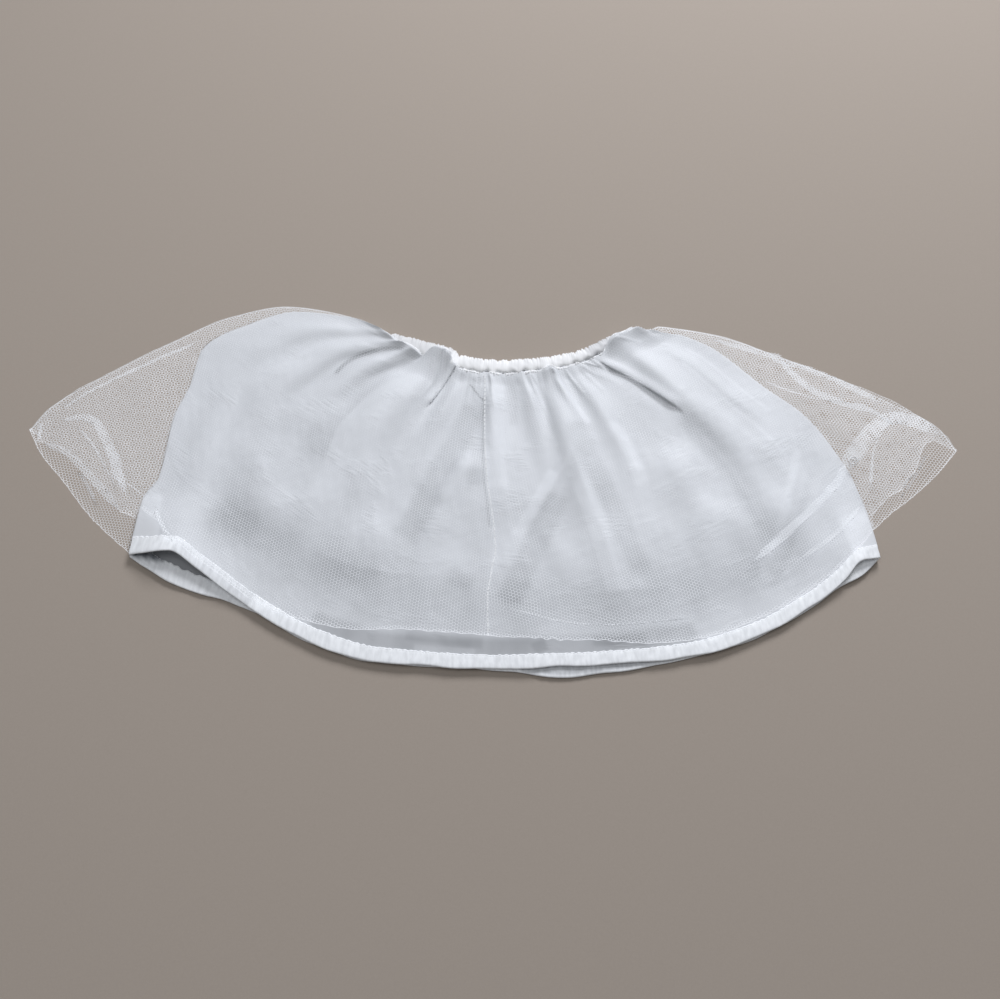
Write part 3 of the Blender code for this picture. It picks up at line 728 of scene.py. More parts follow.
class Recipe:
    """A new material. Each step adds one node and returns the output that later steps need. An input is a
    plain value or another step's output."""

    def __init__(self, name):
        self.material = bpy.data.materials.new(name)
        self.material.use_nodes = True
        self.material.node_tree.nodes.clear()
        self.shader = self.node("BsdfPrincipled")
        self.node("OutputMaterial", {"Surface": self.shader.outputs[0]})

    def put(self, socket, value):
        if isinstance(value, bpy.types.NodeSocket):
            self.material.node_tree.links.new(value, socket)
        else:
            socket.default_value = value

    def node(self, kind, inputs=None, **settings):
        node = self.material.node_tree.nodes.new("ShaderNode" + kind)
        for name, value in settings.items():
            setattr(node, name, value)
        for name, value in (inputs or {}).items():
            self.put(node.inputs[name], value)
        return node

    def finish(self, **inputs):
        """Fills the shader's sockets, whose names have _ for a space, and gives the material."""
        for name, value in inputs.items():
            self.put(self.shader.inputs[name.replace("_", " ")], value)
        return self.material

    def places(self, uv_map):
        return self.node("UVMap", uv_map=uv_map).outputs[0]

    def first(self, vector):
        return self.node("SeparateXYZ", {0: vector}).outputs[0]

    def maths(self, operation, a, b, clamp=False):
        return self.node("Math", {0: a, 1: b}, operation=operation, use_clamp=clamp).outputs[0]

    def vector(self, operation, *inputs, output="Vector"):
        return self.node("VectorMath", dict(enumerate(inputs)), operation=operation).outputs[output]

    def spread(self, value, start, stop, low=0.0, high=1.0):
        """low where the value is at start, high where it is at stop."""
        inputs = {"Value": value, "From Min": start, "From Max": stop, "To Min": low, "To Max": high}
        return self.node("MapRange", inputs).outputs[0]

    def noise(self, vector, scale, detail):
        return self.node("TexNoise", {"Vector": vector, "Scale": scale, "Detail": detail}).outputs[0]

    def mix(self, share, first, second):
        inputs = {"Factor": share, 6: linear(first), 7: linear(second)}
        return self.node("Mix", inputs, data_type="RGBA").outputs[2]

    def bump(self, height, strength, depth_mm, **normal):
        inputs = {"Height": height, "Strength": strength, "Distance": depth_mm * MM, **normal}
        return self.node("Bump", inputs).outputs[0]


def grained_material(name, colours, scale, detail, roughness, strength, depth_mm):
    """A plain dull material with a fine grain in its colour and its height."""
    recipe = Recipe(name)
    grain = recipe.noise(recipe.node("TexCoord").outputs["Object"], scale, detail)
    return recipe.finish(
        Base_Color=recipe.mix(grain, *colours),
        Roughness=roughness,
        Normal=recipe.bump(grain, strength, depth_mm),
    )


# %% [markdown]
# ## Polyester satin
# The under-skirt is a light polyester satin, woven and then heat-set. Long floating threads give it a soft
# shine, and it is thin enough for the layer below to darken it a little. The weave itself, about 0.1 mm a
# thread, is far too fine to show, so it is drawn as slubs about 0.9 mm wide and 9 mm long. Storage presses
# short crosswise ripples into it in scattered patches. Its colour wanders at random between soft-edged
# greyer and whiter patches, and the bands of painted shade and painted light above are laid over that, with
# the darkest painted shade just above the hem.

# %% Polyester satin, woven and heat-set
SLUB_WIDTH, SLUB_LENGTH = 0.9, 9.0
RIPPLE_SPACING, RIPPLE_LENGTH = 2.4, 13.0
# Where the ripples are: how wide and how long their patches are, and where the noise lets them start.
RIPPLED_PATCH, RIPPLED = (38.0, 26.0), (0.52, 0.66)
# The noise's range between the greyest and the whitest patches.
PATCHY = (0.35, 0.62)


def satin_material(name, white, grey, whiteness, alpha, ripple, patch=(34.0, 60.0)):
    """whiteness: how far from grey to white the cloth is in its greyest and its whitest patches.
    patch: how wide and how long those patches are."""
    recipe = Recipe(name)

    def grains(width, length, detail=2.0):
        """Noise in the weave's own directions, with grains of a real width and length."""
        size = {"Vector": recipe.places("cloth"), "Scale": (1.0 / width, 1.0 / length, 1.0)}
        return recipe.noise(recipe.node("Mapping", size).outputs[0], 1.0, detail)

    # Random greyer and whiter patches, less the painted shade kept in the "shade" map (painted light where
    # it is below 0).
    mottled = recipe.spread(grains(*patch, detail=3.0), *PATCHY, *whiteness)
    share = recipe.maths("SUBTRACT", mottled, recipe.first(recipe.places("shade")), clamp=True)
    ripples = grains(RIPPLE_LENGTH, RIPPLE_SPACING, detail=1.0)
    rippled = recipe.maths("MULTIPLY", ripples, recipe.spread(grains(*RIPPLED_PATCH), *RIPPLED))
    slubs = recipe.bump(grains(SLUB_WIDTH, SLUB_LENGTH), 0.4, 0.1)
    return recipe.finish(
        Base_Color=recipe.mix(share, grey, white),
        Roughness=0.58,
        Alpha=alpha,
        Sheen_Weight=0.15,
        Sheen_Roughness=0.4,
        Normal=recipe.bump(rippled, ripple, 0.7, Normal=slubs),
    )


# Each satin's grey is what its random patches and its painted shade fade towards. The hem's dark grey shows
# almost only as painted shade.
SATIN = satin_material("polyester_satin_single", "#E6E8EB", "#929497", (0.66, 0.81), 0.9, 0.75)
HEM_SATIN = satin_material(
    "polyester_satin_turned_hem", "#F9FBFD", "#6C6F75", (0.84, 1.0), 1.0, 0.0, patch=(3.5, 9.0)
)
CASING_SATIN = satin_material("polyester_satin_casing", "#F6F6F6", "#A3A4A7", (0.84, 1.0), 1.0, 0.0)

# %% [markdown]
# ## Nylon net
# Dress net is knitted from fine nylon thread into hexagons, here 2.6 mm from side to side, and left raw at
# the edge. Seen from a step away it is a white haze that gets thicker wherever the net is gathered, folded
# or seen along its surface. So it isn't one see-through value: each hexagon is drawn, and what lies between
# the threads is left out. The hexagons follow the cloth and not the room, so gathers squeeze them.

# %% Nylon net, knitted in hexagons
NET_CELL = 2.6
NET_THREAD = 0.35
# The cut edge and the side folds show as a fine line, this wide.
EDGE_LINE = 0.8


def net_material(name, colour, thread, solid):
    """thread: how wide the threads are. solid: how much of what lies under a thread it hides."""
    recipe = Recipe(name)
    cloth = recipe.places("cloth")
    # Hexagons have their middles on two grids of rectangles. A place belongs to the nearer middle.
    cell = (NET_CELL, NET_CELL * math.sqrt(3.0), 1.0)
    half = tuple(size / 2.0 for size in cell)
    middles = []
    for start in (cloth, recipe.vector("ADD", cloth, half)):
        centred = recipe.vector("SUBTRACT", recipe.vector("MODULO", start, cell), half)
        flat = recipe.vector("MULTIPLY", centred, (1.0, 1.0, 0.0))
        middles.append((flat, recipe.vector("LENGTH", flat, output="Value")))
    (first, first_away), (second, second_away) = middles
    nearer = {0: recipe.maths("LESS_THAN", first_away, second_away), 4: second, 5: first}
    away = recipe.vector("ABSOLUTE", recipe.node("Mix", nearer, data_type="VECTOR").outputs[1])
    # A hexagon's side is reached either straight across or along its slanted way.
    slanted = recipe.vector("DOT_PRODUCT", away, (0.5, math.sqrt(0.75), 0.0), output="Value")
    hexagon = recipe.maths("MAXIMUM", recipe.first(away), slanted)
    side = NET_CELL / 2.0
    threads = recipe.spread(hexagon, side - 0.65 * thread, side - 0.35 * thread)
    line = recipe.spread(recipe.first(recipe.places("edge")), EDGE_LINE, 0.5 * EDGE_LINE, 0.0, 0.8)
    return recipe.finish(
        Base_Color=linear(colour),
        Roughness=0.55,
        Alpha=recipe.maths("MULTIPLY", recipe.maths("MAXIMUM", threads, line), solid),
        Sheen_Weight=0.2,
        Normal=recipe.bump(threads, 0.2, 0.1),
    )


NET = net_material("nylon_net_hexagonal", "#EAECEE", NET_THREAD, 0.95)
NET_SEAM_CLOTH = net_material("nylon_net_seam_allowance", "#F4F5F6", 3.4 * NET_THREAD, 0.95)
print("one layer of net covers", round(1 - (1 - NET_THREAD / NET_CELL) ** 2, 3), "of what lies under it")

# %% [markdown]
# ## Polyester sewing thread
# White spun polyester, a little rough and duller than the satin it is sewn through. At this distance it is
# seen as a row of small raised dashes.

# %% Polyester sewing thread, spun
THREAD = grained_material(
    "polyester_thread_spun", ("#F0F0F0", "#FFFFFF"), 2500.0, 2.0, roughness=0.7, strength=0.3, depth_mm=0.1
)

# %% [markdown]
# ## Making cloth meshes
# Every piece of cloth here is a grid: rows run down the skirt and columns run round it. A grid keeps the
# weave's direction, so each vertex also stores its place on the flat cloth in millimetres, in a UV map
# called "cloth". That is what the weave and the net are drawn on.

# %% Grids to meshes
def add_object(name, data):
    """An object in the scene."""
    obj = bpy.data.objects.new(name, data)
    bpy.context.scene.collection.objects.link(obj)
    return obj


def add_mesh(name, points, faces, material):
    """A smooth mesh from points in the tables' millimetres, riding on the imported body."""
    mesh = bpy.data.meshes.new(name)
    placed = (np.asarray(points, float).reshape(-1, 3) + TO_ROW) * MM
    mesh.from_pydata(placed.tolist(), [], faces)
    mesh.shade_smooth()
    mesh.materials.append(material)
    obj = add_object(name, mesh)
    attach(obj, "root")
    return obj


def grid_faces(rows, columns, closed_rows=False):
    """Faces of a grid that look up when rows run towards the hem and columns to the right. closed_rows: True
    joins the last row to the first one."""
    faces = []
    for row in range(rows if closed_rows else rows - 1):
        start, below = row * columns, (row + 1) % rows * columns
        for c in range(columns - 1):
            faces.append((start + c, below + c, below + c + 1, start + c + 1))
    return faces


def store_places(obj, name, places):
    """Stores a pair of numbers for each point of a grid as a UV map."""
    corners = np.empty(len(obj.data.loops), np.int32)
    obj.data.loops.foreach_get("vertex_index", corners)
    layer = obj.data.uv_layers.new(name=name)
    layer.data.foreach_set("uv", places.reshape(-1, 2)[corners].astype(np.float32).ravel())


def add_cloth(name, points, cloth, material, edge=None, tones=(), **closed):
    """A sheet from a grid of points and a grid of places (u, v) on the flat cloth, both in millimetres.
    edge: each point's distance from the cut edge, for net. tones: the bands of painted shade and painted
    light, for satin."""
    obj = add_mesh(name, points, grid_faces(*points.shape[:2], **closed), material)
    store_places(obj, "cloth", cloth)
    # Satin, hem and casing keep their painted shade and painted light in the "shade" map.
    layer, values = ("shade", painted_shade_at(points[..., :2], tones)) if edge is None else ("edge", edge)
    store_places(obj, layer, np.stack([values, 0.0 * values], axis=-1))
    return obj


def on_cloth(u, v):
    """Places on the flat cloth for a grid: u for its columns and v for its rows."""
    return np.stack(np.broadcast_arrays(u[None, :], v[:, None]), axis=-1)


def from_end(points, axis, last):
    """Distance over the cloth from a grid's first or last row (axis 0) or column (axis 1)."""
    steps = np.linalg.norm(np.diff(points, axis=axis), axis=-1)
    if last:
        steps = np.flip(steps, axis=axis)
    total = np.cumsum(steps, axis=axis)
    total = np.concatenate([np.zeros_like(np.take(total, [0], axis=axis)), total], axis=axis)
    return np.flip(total, axis=axis) if last else total


# How many rows roll over into the casing, how far they reach into it, and the height that they end at.
TUCK_ROWS, TUCK_REACH, SEAM_FOOT = 3, 1.4, 5.4


def tucked_top(points):
    """The same grid with rows added before its first one, which roll over and down into the casing."""
    top = points[0]
    rows = []
    for step in range(TUCK_ROWS, 0, -1):
        angle = 0.5 * math.pi * step / TUCK_ROWS
        row = top.copy()
        row[:, 1] += TUCK_REACH * math.sin(angle)
        row[:, 2] -= (top[:, 2] - SEAM_FOOT) * (1.0 - math.cos(angle))
        rows.append(row)
    return np.concatenate([np.stack(rows), points])


def grid_of(rows, columns):
    """Row and column values as two grids."""
    return np.meshgrid(rows, columns, indexing="ij")


# %% [markdown]
# ## Satin under-skirt
# Two panels, front and back, cut as rectangles 680 mm wide and gathered into the casing. The front carries
# all the folds. At each side its edge rolls over to meet the back, as cloth does at a side fold, so it gets
# a few more columns there that turn down.

# %% Satin front and back
# Rows and columns. The rows lie closer together near the waist, where the folds are smallest.
SATIN_GRIDS = {"front": (232, 400), "back": (110, 220)}
SATIN_BUNCHED = 1.2
# The single cloth is drawn on for a quarter of the hem's depth, under the folded band.
UNDER_HEM = STITCH_LINE + 0.25 * (1.0 - STITCH_LINE)
ROLL_COLUMNS = 4


def rolled_edge(edge, outward, foot_height):
    """Columns that carry a sheet's edge outwards and down to foot_height. edge is rows of points."""
    turned = []
    for step in range(1, ROLL_COLUMNS + 1):
        angle = math.pi * step / ROLL_COLUMNS
        reach = 0.5 * (edge[:, 2] - foot_height)
        column = edge.copy()
        column[:, 0] += outward * np.clip(reach, 0.4, 1.5) * math.sin(angle)
        column[:, 2] = foot_height + reach * (1.0 + math.cos(angle))
        turned.append(column)
    return turned


def satin_panel(side, tones):
    """A satin panel as a piece of cloth, and its grid of points."""
    rows, columns = SATIN_GRIDS[side]
    v = np.linspace(0.0, 1.0, rows) ** SATIN_BUNCHED
    down, across = grid_of(UNDER_HEM * v, np.linspace(0.0, 1.0, columns))
    points = SATIN_SURFACES[side](across, down)
    if side == "front":
        feet = satin_back_points(across[:, [0, -1]], down[:, [0, -1]])[..., 2]
        left = rolled_edge(points[:, 0], -1.0, feet[:, 0])
        right = rolled_edge(points[:, -1], 1.0, feet[:, 1])
        points = np.stack(left[::-1] + list(points.transpose(1, 0, 2)) + right, axis=1)
        points = tucked_top(points)
        v = np.linspace(0.0, 1.0, len(points)) ** SATIN_BUNCHED
    cloth = on_cloth(walked(points[-1]), (SKIRT_LENGTH - 0.75 * HEM_DEPTH) * v)
    return add_cloth("satin_" + side + "_panel", points, cloth, SATIN, tones=tones), points


satin_front_panel, satin_front = satin_panel("front", SATIN_PAINTED_SHADE_AND_LIGHT)
satin_back_panel, _ = satin_panel("back", SATIN_BACK_PAINTED_SHADE)
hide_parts("satin_front")
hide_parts("satin_back")
print("satin front: highest", round(satin_front[..., 2].max(), 1), "mm above the floor")

# %% [markdown]
# ## Turned-up hem
# The satin's raw edge is folded up twice and sewn, which gives a stiff band 12.5 mm deep that looks whiter
# than the single cloth. Sewing a curved edge leaves a small pucker at every few stitches. The band is a
# closed strip on the same lines as the panel, with its top side puckered and its lower edge rounded.

# %% Hem bands
HEM_COLUMNS = 1120
PUCKER_SPACING, PUCKER_HEIGHT, PUCKER_MIDDLE = 7.4, 0.16, 0.6
# Waves that move the puckers along the hem, make its two edges uneven and crumple its top. The edges' waves
# are given in shares of the band's depth.
HEM_WANDER, HEM_CRUMPLE = Wave(3.0, 30.0, 5), Wave(0.14, 7.0, 6)
UPPER_EDGE, LOWER_EDGE = (Wave(0.03, 5.0, 1), Wave(0.02, 16.0, 2)), Wave(0.05, 40.0, 3)


def puckers(along, spacing, seed):
    """Rounded pleats from 0 in the creases to 1 on top, at uneven spacing."""
    phase = along / spacing + waved(Wave(0.8, 9.0 * spacing, 0), seed, along)
    return np.abs(np.sin(math.pi * phase)) ** 0.7


# Across the band: how far down it (0 at the stitch line, 1 at the fold) and how high (0 bottom, 1 top).
HEM_SECTION = [
    (0.10, 0.60), (0.12, 0.86), (0.18, 0.96), (0.35, 1.00), (0.55, 1.00), (0.75, 1.00),
    (0.90, 0.97), (0.97, 0.88), (1.00, 0.62), (0.97, 0.42), (0.60, 0.36), (0.15, 0.40),
]


def hem_band(side, seed, tones):
    """A closed strip from the stitch line to the hem's fold, puckered on top, and its grid of points."""
    across = np.linspace(0.0, 1.0, HEM_COLUMNS)
    along = walked(skirt_plan(across, np.ones_like(across), side))
    pleat = puckers(along + waved(HEM_WANDER, seed, along), PUCKER_SPACING, seed)
    upper = sum(waved(wave, seed, along) for wave in UPPER_EDGE)
    lower = waved(LOWER_EDGE, seed, along)
    ring = []
    for share, level in HEM_SECTION:
        share = share + (upper if share < 0.3 else 0.0) + (lower if share > 0.8 else 0.0)
        points = SATIN_SURFACES[side](across, np.clip(STITCH_LINE + (1.0 - STITCH_LINE) * share, 0.0, 1.2))
        top = PUCKER_HEIGHT * (pleat - PUCKER_MIDDLE) + waved(HEM_CRUMPLE, seed, along, 9.0 * share)
        points[:, 2] = points[:, 2] - SATIN_WALL + HEM_WALL * level + (top if level > 0.5 else 0.0)
        ring.append(points)
    points = np.stack(ring)
    v = np.cumsum([0.0] + [HEM_DEPTH * abs(b[0] - a[0]) for a, b in zip(HEM_SECTION, HEM_SECTION[1:])])
    name = "hem_" + side + "_band"
    return add_cloth(name, points, on_cloth(along, v), HEM_SATIN, tones=tones, closed_rows=True), points


hem_front_band, hem_front = hem_band("front", 31, HEM_FRONT_PAINTED_SHADE)
hem_back_band, hem_back = hem_band("back", 41, HEM_BACK_PAINTED_SHADE)
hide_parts("hem_front")
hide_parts("hem_back")
print("hem:", round(walked(HEM_LINE["front"](np.linspace(0.0, 1.0, HEM_COLUMNS)))[-1]), "mm round the front")

# %% [markdown]
# ## Stitches
# A straight machine stitch holds the hem, one stitch every 2.7 mm. Each is a small spindle that follows the
# band's own top, and all of one row make one mesh, because hundreds of tiny objects are slow to handle.

# %% Stitches along a line
STITCH_LENGTH, STITCH_SPACING, STITCH_THICK, STITCH_SIDES = 1.9, 2.7, 0.26, 5
# The share of its length to which a stitch is full on each side of its middle, and how far it may turn.
STITCH_FULL, STITCH_TURNS = 0.3, 0.08


def at_distance(line, along, distance):
    """Points at distances along a line of points."""
    return np.stack([np.interp(distance, along, line[:, k]) for k in range(3)], axis=-1)


def add_stitches(name, line, seed, thick=STITCH_THICK):
    """One spindle a stitch, with its middle on the line."""
    along = walked(line)
    middles = np.arange(STITCH_SPACING / 2.0, along[-1], STITCH_SPACING)
    ahead = at_distance(line, along, middles + 0.5) - at_distance(line, along, middles - 0.5)
    ahead = ahead / np.linalg.norm(ahead, axis=1)[:, None]
    source, _ = scattered(seed, 1)
    points, faces = [], []
    for middle, direction in zip(at_distance(line, along, middles), ahead):
        across = np.cross(direction, [0.0, 0.0, 1.0])
        across = across / np.linalg.norm(across)
        up = np.cross(across, direction)
        direction = direction + across * source.normal(0.0, STITCH_TURNS)
        first = len(points)
        last = first + 1 + 2 * STITCH_SIDES
        points.append(middle - direction * STITCH_LENGTH / 2.0)
        for share in (-STITCH_FULL, STITCH_FULL):
            for side in range(STITCH_SIDES):
                angle = math.tau * side / STITCH_SIDES
                out = across * math.cos(angle) + up * math.sin(angle)
                points.append(middle + direction * STITCH_LENGTH * share + out * thick / 2.0)
        points.append(middle + direction * STITCH_LENGTH / 2.0)
        for side in range(STITCH_SIDES):
            a, b = first + 1 + side, first + 1 + (side + 1) % STITCH_SIDES
            over_a, over_b = a + STITCH_SIDES, b + STITCH_SIDES
            faces += [(first, b, a), (a, b, over_b, over_a), (over_a, over_b, last)]
    return add_mesh(name, np.array(points), faces, THREAD)


STITCH_ROW_ON_BAND, STITCH_STANDS = 2, [0.0, 0.0, 0.05]
hem_front_stitches = add_stitches("hem_front_stitches", hem_front[STITCH_ROW_ON_BAND] + STITCH_STANDS, 51)
hem_back_stitches = add_stitches("hem_back_stitches", hem_back[STITCH_ROW_ON_BAND] + STITCH_STANDS, 52)
print("stitches:", len(hem_front_stitches.data.polygons) // (3 * STITCH_SIDES), "on the front hem")

# %% [markdown]
# ## Net over-skirt
# The net is one strip 1.8 m long and 270 mm deep, gathered more tightly than the satin and cut a little
# shorter. Laid flat it makes two layers that stand out past the satin as a wing at each side. A station
# says how far round the front or the back a column is: -1 to 0 crosses the left wing, 0 to 1 the satin, and
# 1 to 2 the right wing. The strip's ends are joined in a seam down the front, so the front is two pieces.

# %% Laps of the net
NET_LAPS = rows_of(
    Lap,
    # The left wing: the fold beside its outer edge, the folds that fan out from its tip, and its hem's loop.
    (4.0, 1.4, 1, [(-400, 78), (-355, 115), (-262, 170)]),
    (8.0, 2.2, 1, [(-398, 74), (-362, 77), (-342, 55), (-308, -14)]),
    (3.0, 1.4, 1, [(-376, 74), (-350, 46), (-316, -12)]),
    (2.5, 1.0, -1, [(-346, 66), (-334, 34), (-296, -6)]),
    (7.0, 1.8, 1, [(-408, 58), (-372, 40), (-340, 8), (-308, -26)]),
    (2.5, 1.0, -1, [(-374, 44), (-358, 14), (-330, -10)]),
    (3.5, 1.4, 1, [(-402, 78), (-403, 66), (-399, 50)]),
    (3.0, 1.6, 1, [(-316, -14), (-318, -29), (-304, -35)]),
    # The right wing: the broad rolled band, the folds that meet it, and its edges.
    (15.0, 6.0, 1, [(284, 12), (322, 60), (350, 76), (396, 56)]),
    (6.0, 2.2, -1, [(244, 156), (281, 104), (344, 74)]),
    (3.0, 1.2, 1, [(228, 122), (272, 99), (316, 82)]),
    (5.0, 1.8, 1, [(350, 80), (305, 117), (252, 144), (180, 170)]),
    (4.0, 1.6, 1, [(344, 66), (322, 36), (310, -2)]),
    (3.0, 1.4, 1, [(378, 58), (352, 22), (328, -8)]),
    # Over the satin.
    (4.0, 1.2, 1, [(-289, -8), (-282, -26), (-264, -52)]),
    (8.0, 0.5, -1, [(306, 34), (262, -12), (196, -72)]),
    (5.0, 0.4, -1, [(308, -4), (276, -38), (240, -62)]),
    # Above the hem, where the net's own hem waves.
    (2.4, 0.6, 1, [(-10, -98), (70, -116), (160, -110)]),
)
NET_BACK_LAPS = rows_of(
    Lap,
    (4.0, 0.8, 1, [(-366, 30), (-352, 12), (-340, -8)]),
    (3.0, 0.8, 1, [(374, 50), (355, 20), (336, -4)]),
)
print(len(NET_LAPS), "laps in the front net and", len(NET_BACK_LAPS), "in the back")

# %% Places on the net
NET_FOLDS = rows_of(
    Fold,
    (0.14, 0.08, 0.00, 0.95, 1.5, 0.028), (0.24, 0.20, 0.00, 0.80, 2.0, 0.026),
    (0.35, 0.32, 0.00, 0.95, 1.5, 0.026), (0.50, 0.50, 0.40, 0.95, 1.5, 0.026),
    (0.62, 0.64, 0.00, 0.85, 2.0, 0.028), (0.70, 0.84, 0.05, 0.80, 2.0, 0.026),
    (0.83, 0.86, 0.00, 0.55, 2.0, 0.024),
)
# How high a wing stands in its middle and at its tip, and how far the net stands clear of the satin.
WING_DOME, WING_TIP, NET_CLEAR = 5.0, 0.4, 0.8
# Shares out over which a wing comes down to the floor, and of its rows over which its dome rises.
WING_LANDS, DOME_RISES = (0.1, 1.0), (0.35, 0.8)
# Shares down between which the net climbs over the satin's folded hem.
NET_OVER_HEM = (0.66, 0.88)
# The middle of the back net's wall on the floor.
NET_ON_FLOOR = 0.5


def net_down(side, across, row):
    """How far down the satin a row of the net lies. Its rows leave the satin's towards the hem."""
    stretch = NET_HEM_SHARE[side](across) / STITCH_LINE - 1.0
    return row * STITCH_LINE * (1.0 + stretch * ease(NET_ROWS_LEAVE, 1.0, row))


def net_over_satin(side, across, row):
    """Points of the net between the side folds."""
    down = net_down(side, across, row)
    if side == "back":
        plan = skirt_plan(across, down, side)
        return raised(plan, np.full(plan.shape[:-1], NET_ON_FLOOR))
    points = satin_front_points(across, down)
    own, _ = folded(NET_FOLDS, across, down)
    over_hem = (HEM_WALL - SATIN_WALL + 2 * SEAM_GAP) * ease(*NET_OVER_HEM, down)
    points[..., 2] += NET_CLEAR + own + over_hem
    return points


def net_points(side, station, row):
    """Points of one side of the net, wings and all."""
    across = np.clip(station, 0.0, 1.0)
    at_last_row = np.ones_like(row)
    points = net_over_satin(side, across, row)
    for hand in (0, 1):
        out = np.clip(-station if hand == 0 else station - 1.0, 0.0, 1.0)
        share = out[..., None]
        straight = (1 - share) * points[..., :2] + share * NET_SIDES[hand](row)
        last_root = net_over_satin(side, across, at_last_row)[..., :2]
        at_hem = (1 - share) * last_root + share * NET_SIDES[hand](at_last_row)
        plan = straight + (row**4)[..., None] * (WING_HEMS[side][hand](out) - at_hem)
        height = points[..., 2] * (1.0 - out) + WING_TIP * out
        if side == "front":
            lowest = NET_WALL + SEAM_GAP
            landing = 1.0 - ease(*WING_LANDS, out)
            dome = WING_DOME * 4 * out * (1 - out) * ease(*DOME_RISES, row)
            height = lowest + (points[..., 2] - lowest) * landing + dome
        points = np.where(share > 0.0, raised(plan, height), points)
    return points


# The net's two front solids meet at this share across, and columns within this share of it follow the seam.
SEAM_STATION, SEAM_SPREAD = 22 / 48, 0.08
# Soft waves of the front and the back, round these heights. The front's grow over these shares of its rows.
SOFT_FRONT, SOFT_BACK = (Wave(0.5, 38.0, 61), Wave(0.25, 11.0, 62)), Wave(0.15, 30.0, 63)
FRONT_RAISED, BACK_RAISED, SOFT_GROWS = 0.4, 0.15, (0.1, 0.5)
# How uneven the raw hem is, from which share of its rows, and how many millimetres round it a station is.
HEM_RAGGED, RAGGED_START, STATION_LENGTH = Wave(0.7, 7.0, 64), 0.97, 400.0
# The raw hem curls up, so it is seen along its surface, as a thin white line.
HEM_CURL, CURL_START = 1.3, 0.988
# The threads' lines wander over the cloth in these waves.
THREADS_BEND = (Wave(1.5, 90.0, 65), Wave(1.5, 90.0, 66))
# How much closer together the rows lie at the hem, and the lowest that a thread's middle may be.
NET_BUNCHED, LOWEST = 0.85, 0.15


def net_sheet(side, stations, rows):
    """A sheet of net with its laps, soft waves and uneven raw hem, and where its threads lie."""
    row, station = grid_of(np.linspace(0.0, 1.0, rows) ** NET_BUNCHED, stations)
    if side == "front":
        near_seam = np.exp(-(((station - SEAM_STATION) / SEAM_SPREAD) ** 2))
        station = station + (SEAM_ACROSS(row) - SEAM_STATION) * near_seam
    points = net_points(side, station, row)
    x, y = points[..., 0].copy(), points[..., 1].copy()
    laps = NET_LAPS if side == "front" else NET_BACK_LAPS
    shift, height = lapped(points[..., :2], laps)
    phase = lap_phase(points[..., :2], laps)
    if side == "front":
        soft = FRONT_RAISED + waved(SOFT_FRONT[0], 0, x, y) + waved(SOFT_FRONT[1], 0, x, y)
        height = height + ease(*SOFT_GROWS, row) * soft
    else:
        height = height + BACK_RAISED + waved(SOFT_BACK, 0, x, y)
    points[..., :2] += shift
    points[..., 2] += height
    points[..., 1] += waved(HEM_RAGGED, 0, STATION_LENGTH * station) * ease(RAGGED_START, 1.0, row)
    points[..., 2] = np.maximum(points[..., 2] + HEM_CURL * ease(CURL_START, 1.0, row), LOWEST)
    bend = np.stack([waved(wave, 0, x, y) for wave in THREADS_BEND], axis=-1)
    return points, points[..., :2] + phase + bend


# %% The net's three sheets
WING_STATIONS = 170
left_wing = np.linspace(-1.0, 0.0, WING_STATIONS, endpoint=False)
right_wing = np.linspace(2.0, 1.0, WING_STATIONS, endpoint=False)[::-1]
over_left = np.linspace(0.0, SEAM_STATION, 150)
over_right = np.linspace(SEAM_STATION, 1.0, 165)
back_stations = np.concatenate([left_wing[::2], np.linspace(0.0, 1.0, 200), right_wing[::2]])
sheets = {
    "net_front_left": net_sheet("front", np.concatenate([left_wing, over_left]), 290),
    "net_front_right": net_sheet("front", np.concatenate([over_right, right_wing]), 285),
    "net_back": net_sheet("back", back_stations, 150),
}
# The net's rows of holes run at these angles to the table's X on each sheet. Its pattern is counted from a
# place far enough away that it never goes below zero.
GRAIN = {"net_front_left": -24.0, "net_front_right": 19.0, "net_back": 7.0}
PATTERN_START = 900.0


def turned(places, degrees):
    """Places on the cloth, turned to the net's grain."""
    cosine, sine = math.cos(math.radians(degrees)), math.sin(math.radians(degrees))
    return places @ np.array([[cosine, sine], [-sine, cosine]]) + PATTERN_START


net_pieces = {}
for node, (points, threads_at) in sheets.items():
    edge = from_end(points, axis=0, last=True)
    if node != "net_front_right":
        edge = np.minimum(edge, from_end(points, axis=1, last=False))
    if node != "net_front_left":
        edge = np.minimum(edge, from_end(points, axis=1, last=True))
    places = turned(threads_at, GRAIN[node])
    if node != "net_back":
        points = tucked_top(points)
        first_row = [0] * TUCK_ROWS + list(range(len(edge)))
        places, edge = places[first_row], edge[first_row]
    net_pieces[node] = add_cloth(node + "_sheet", points, places, NET, edge=edge)
    # Fine nylon passes on nearly all the light that falls on it, so it throws no shadow worth showing.
    net_pieces[node].visible_shadow = False
    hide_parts(node)
    print(node, "has", 2 * len(net_pieces[node].data.polygons), "triangles")

# %% [markdown]
# ## The net's seam
# The two ends of the strip are sewn together face to face, and the narrow allowance is pushed to one side.
# It shows through as a thin white line, because several layers of net and a row of thread lie on each other.

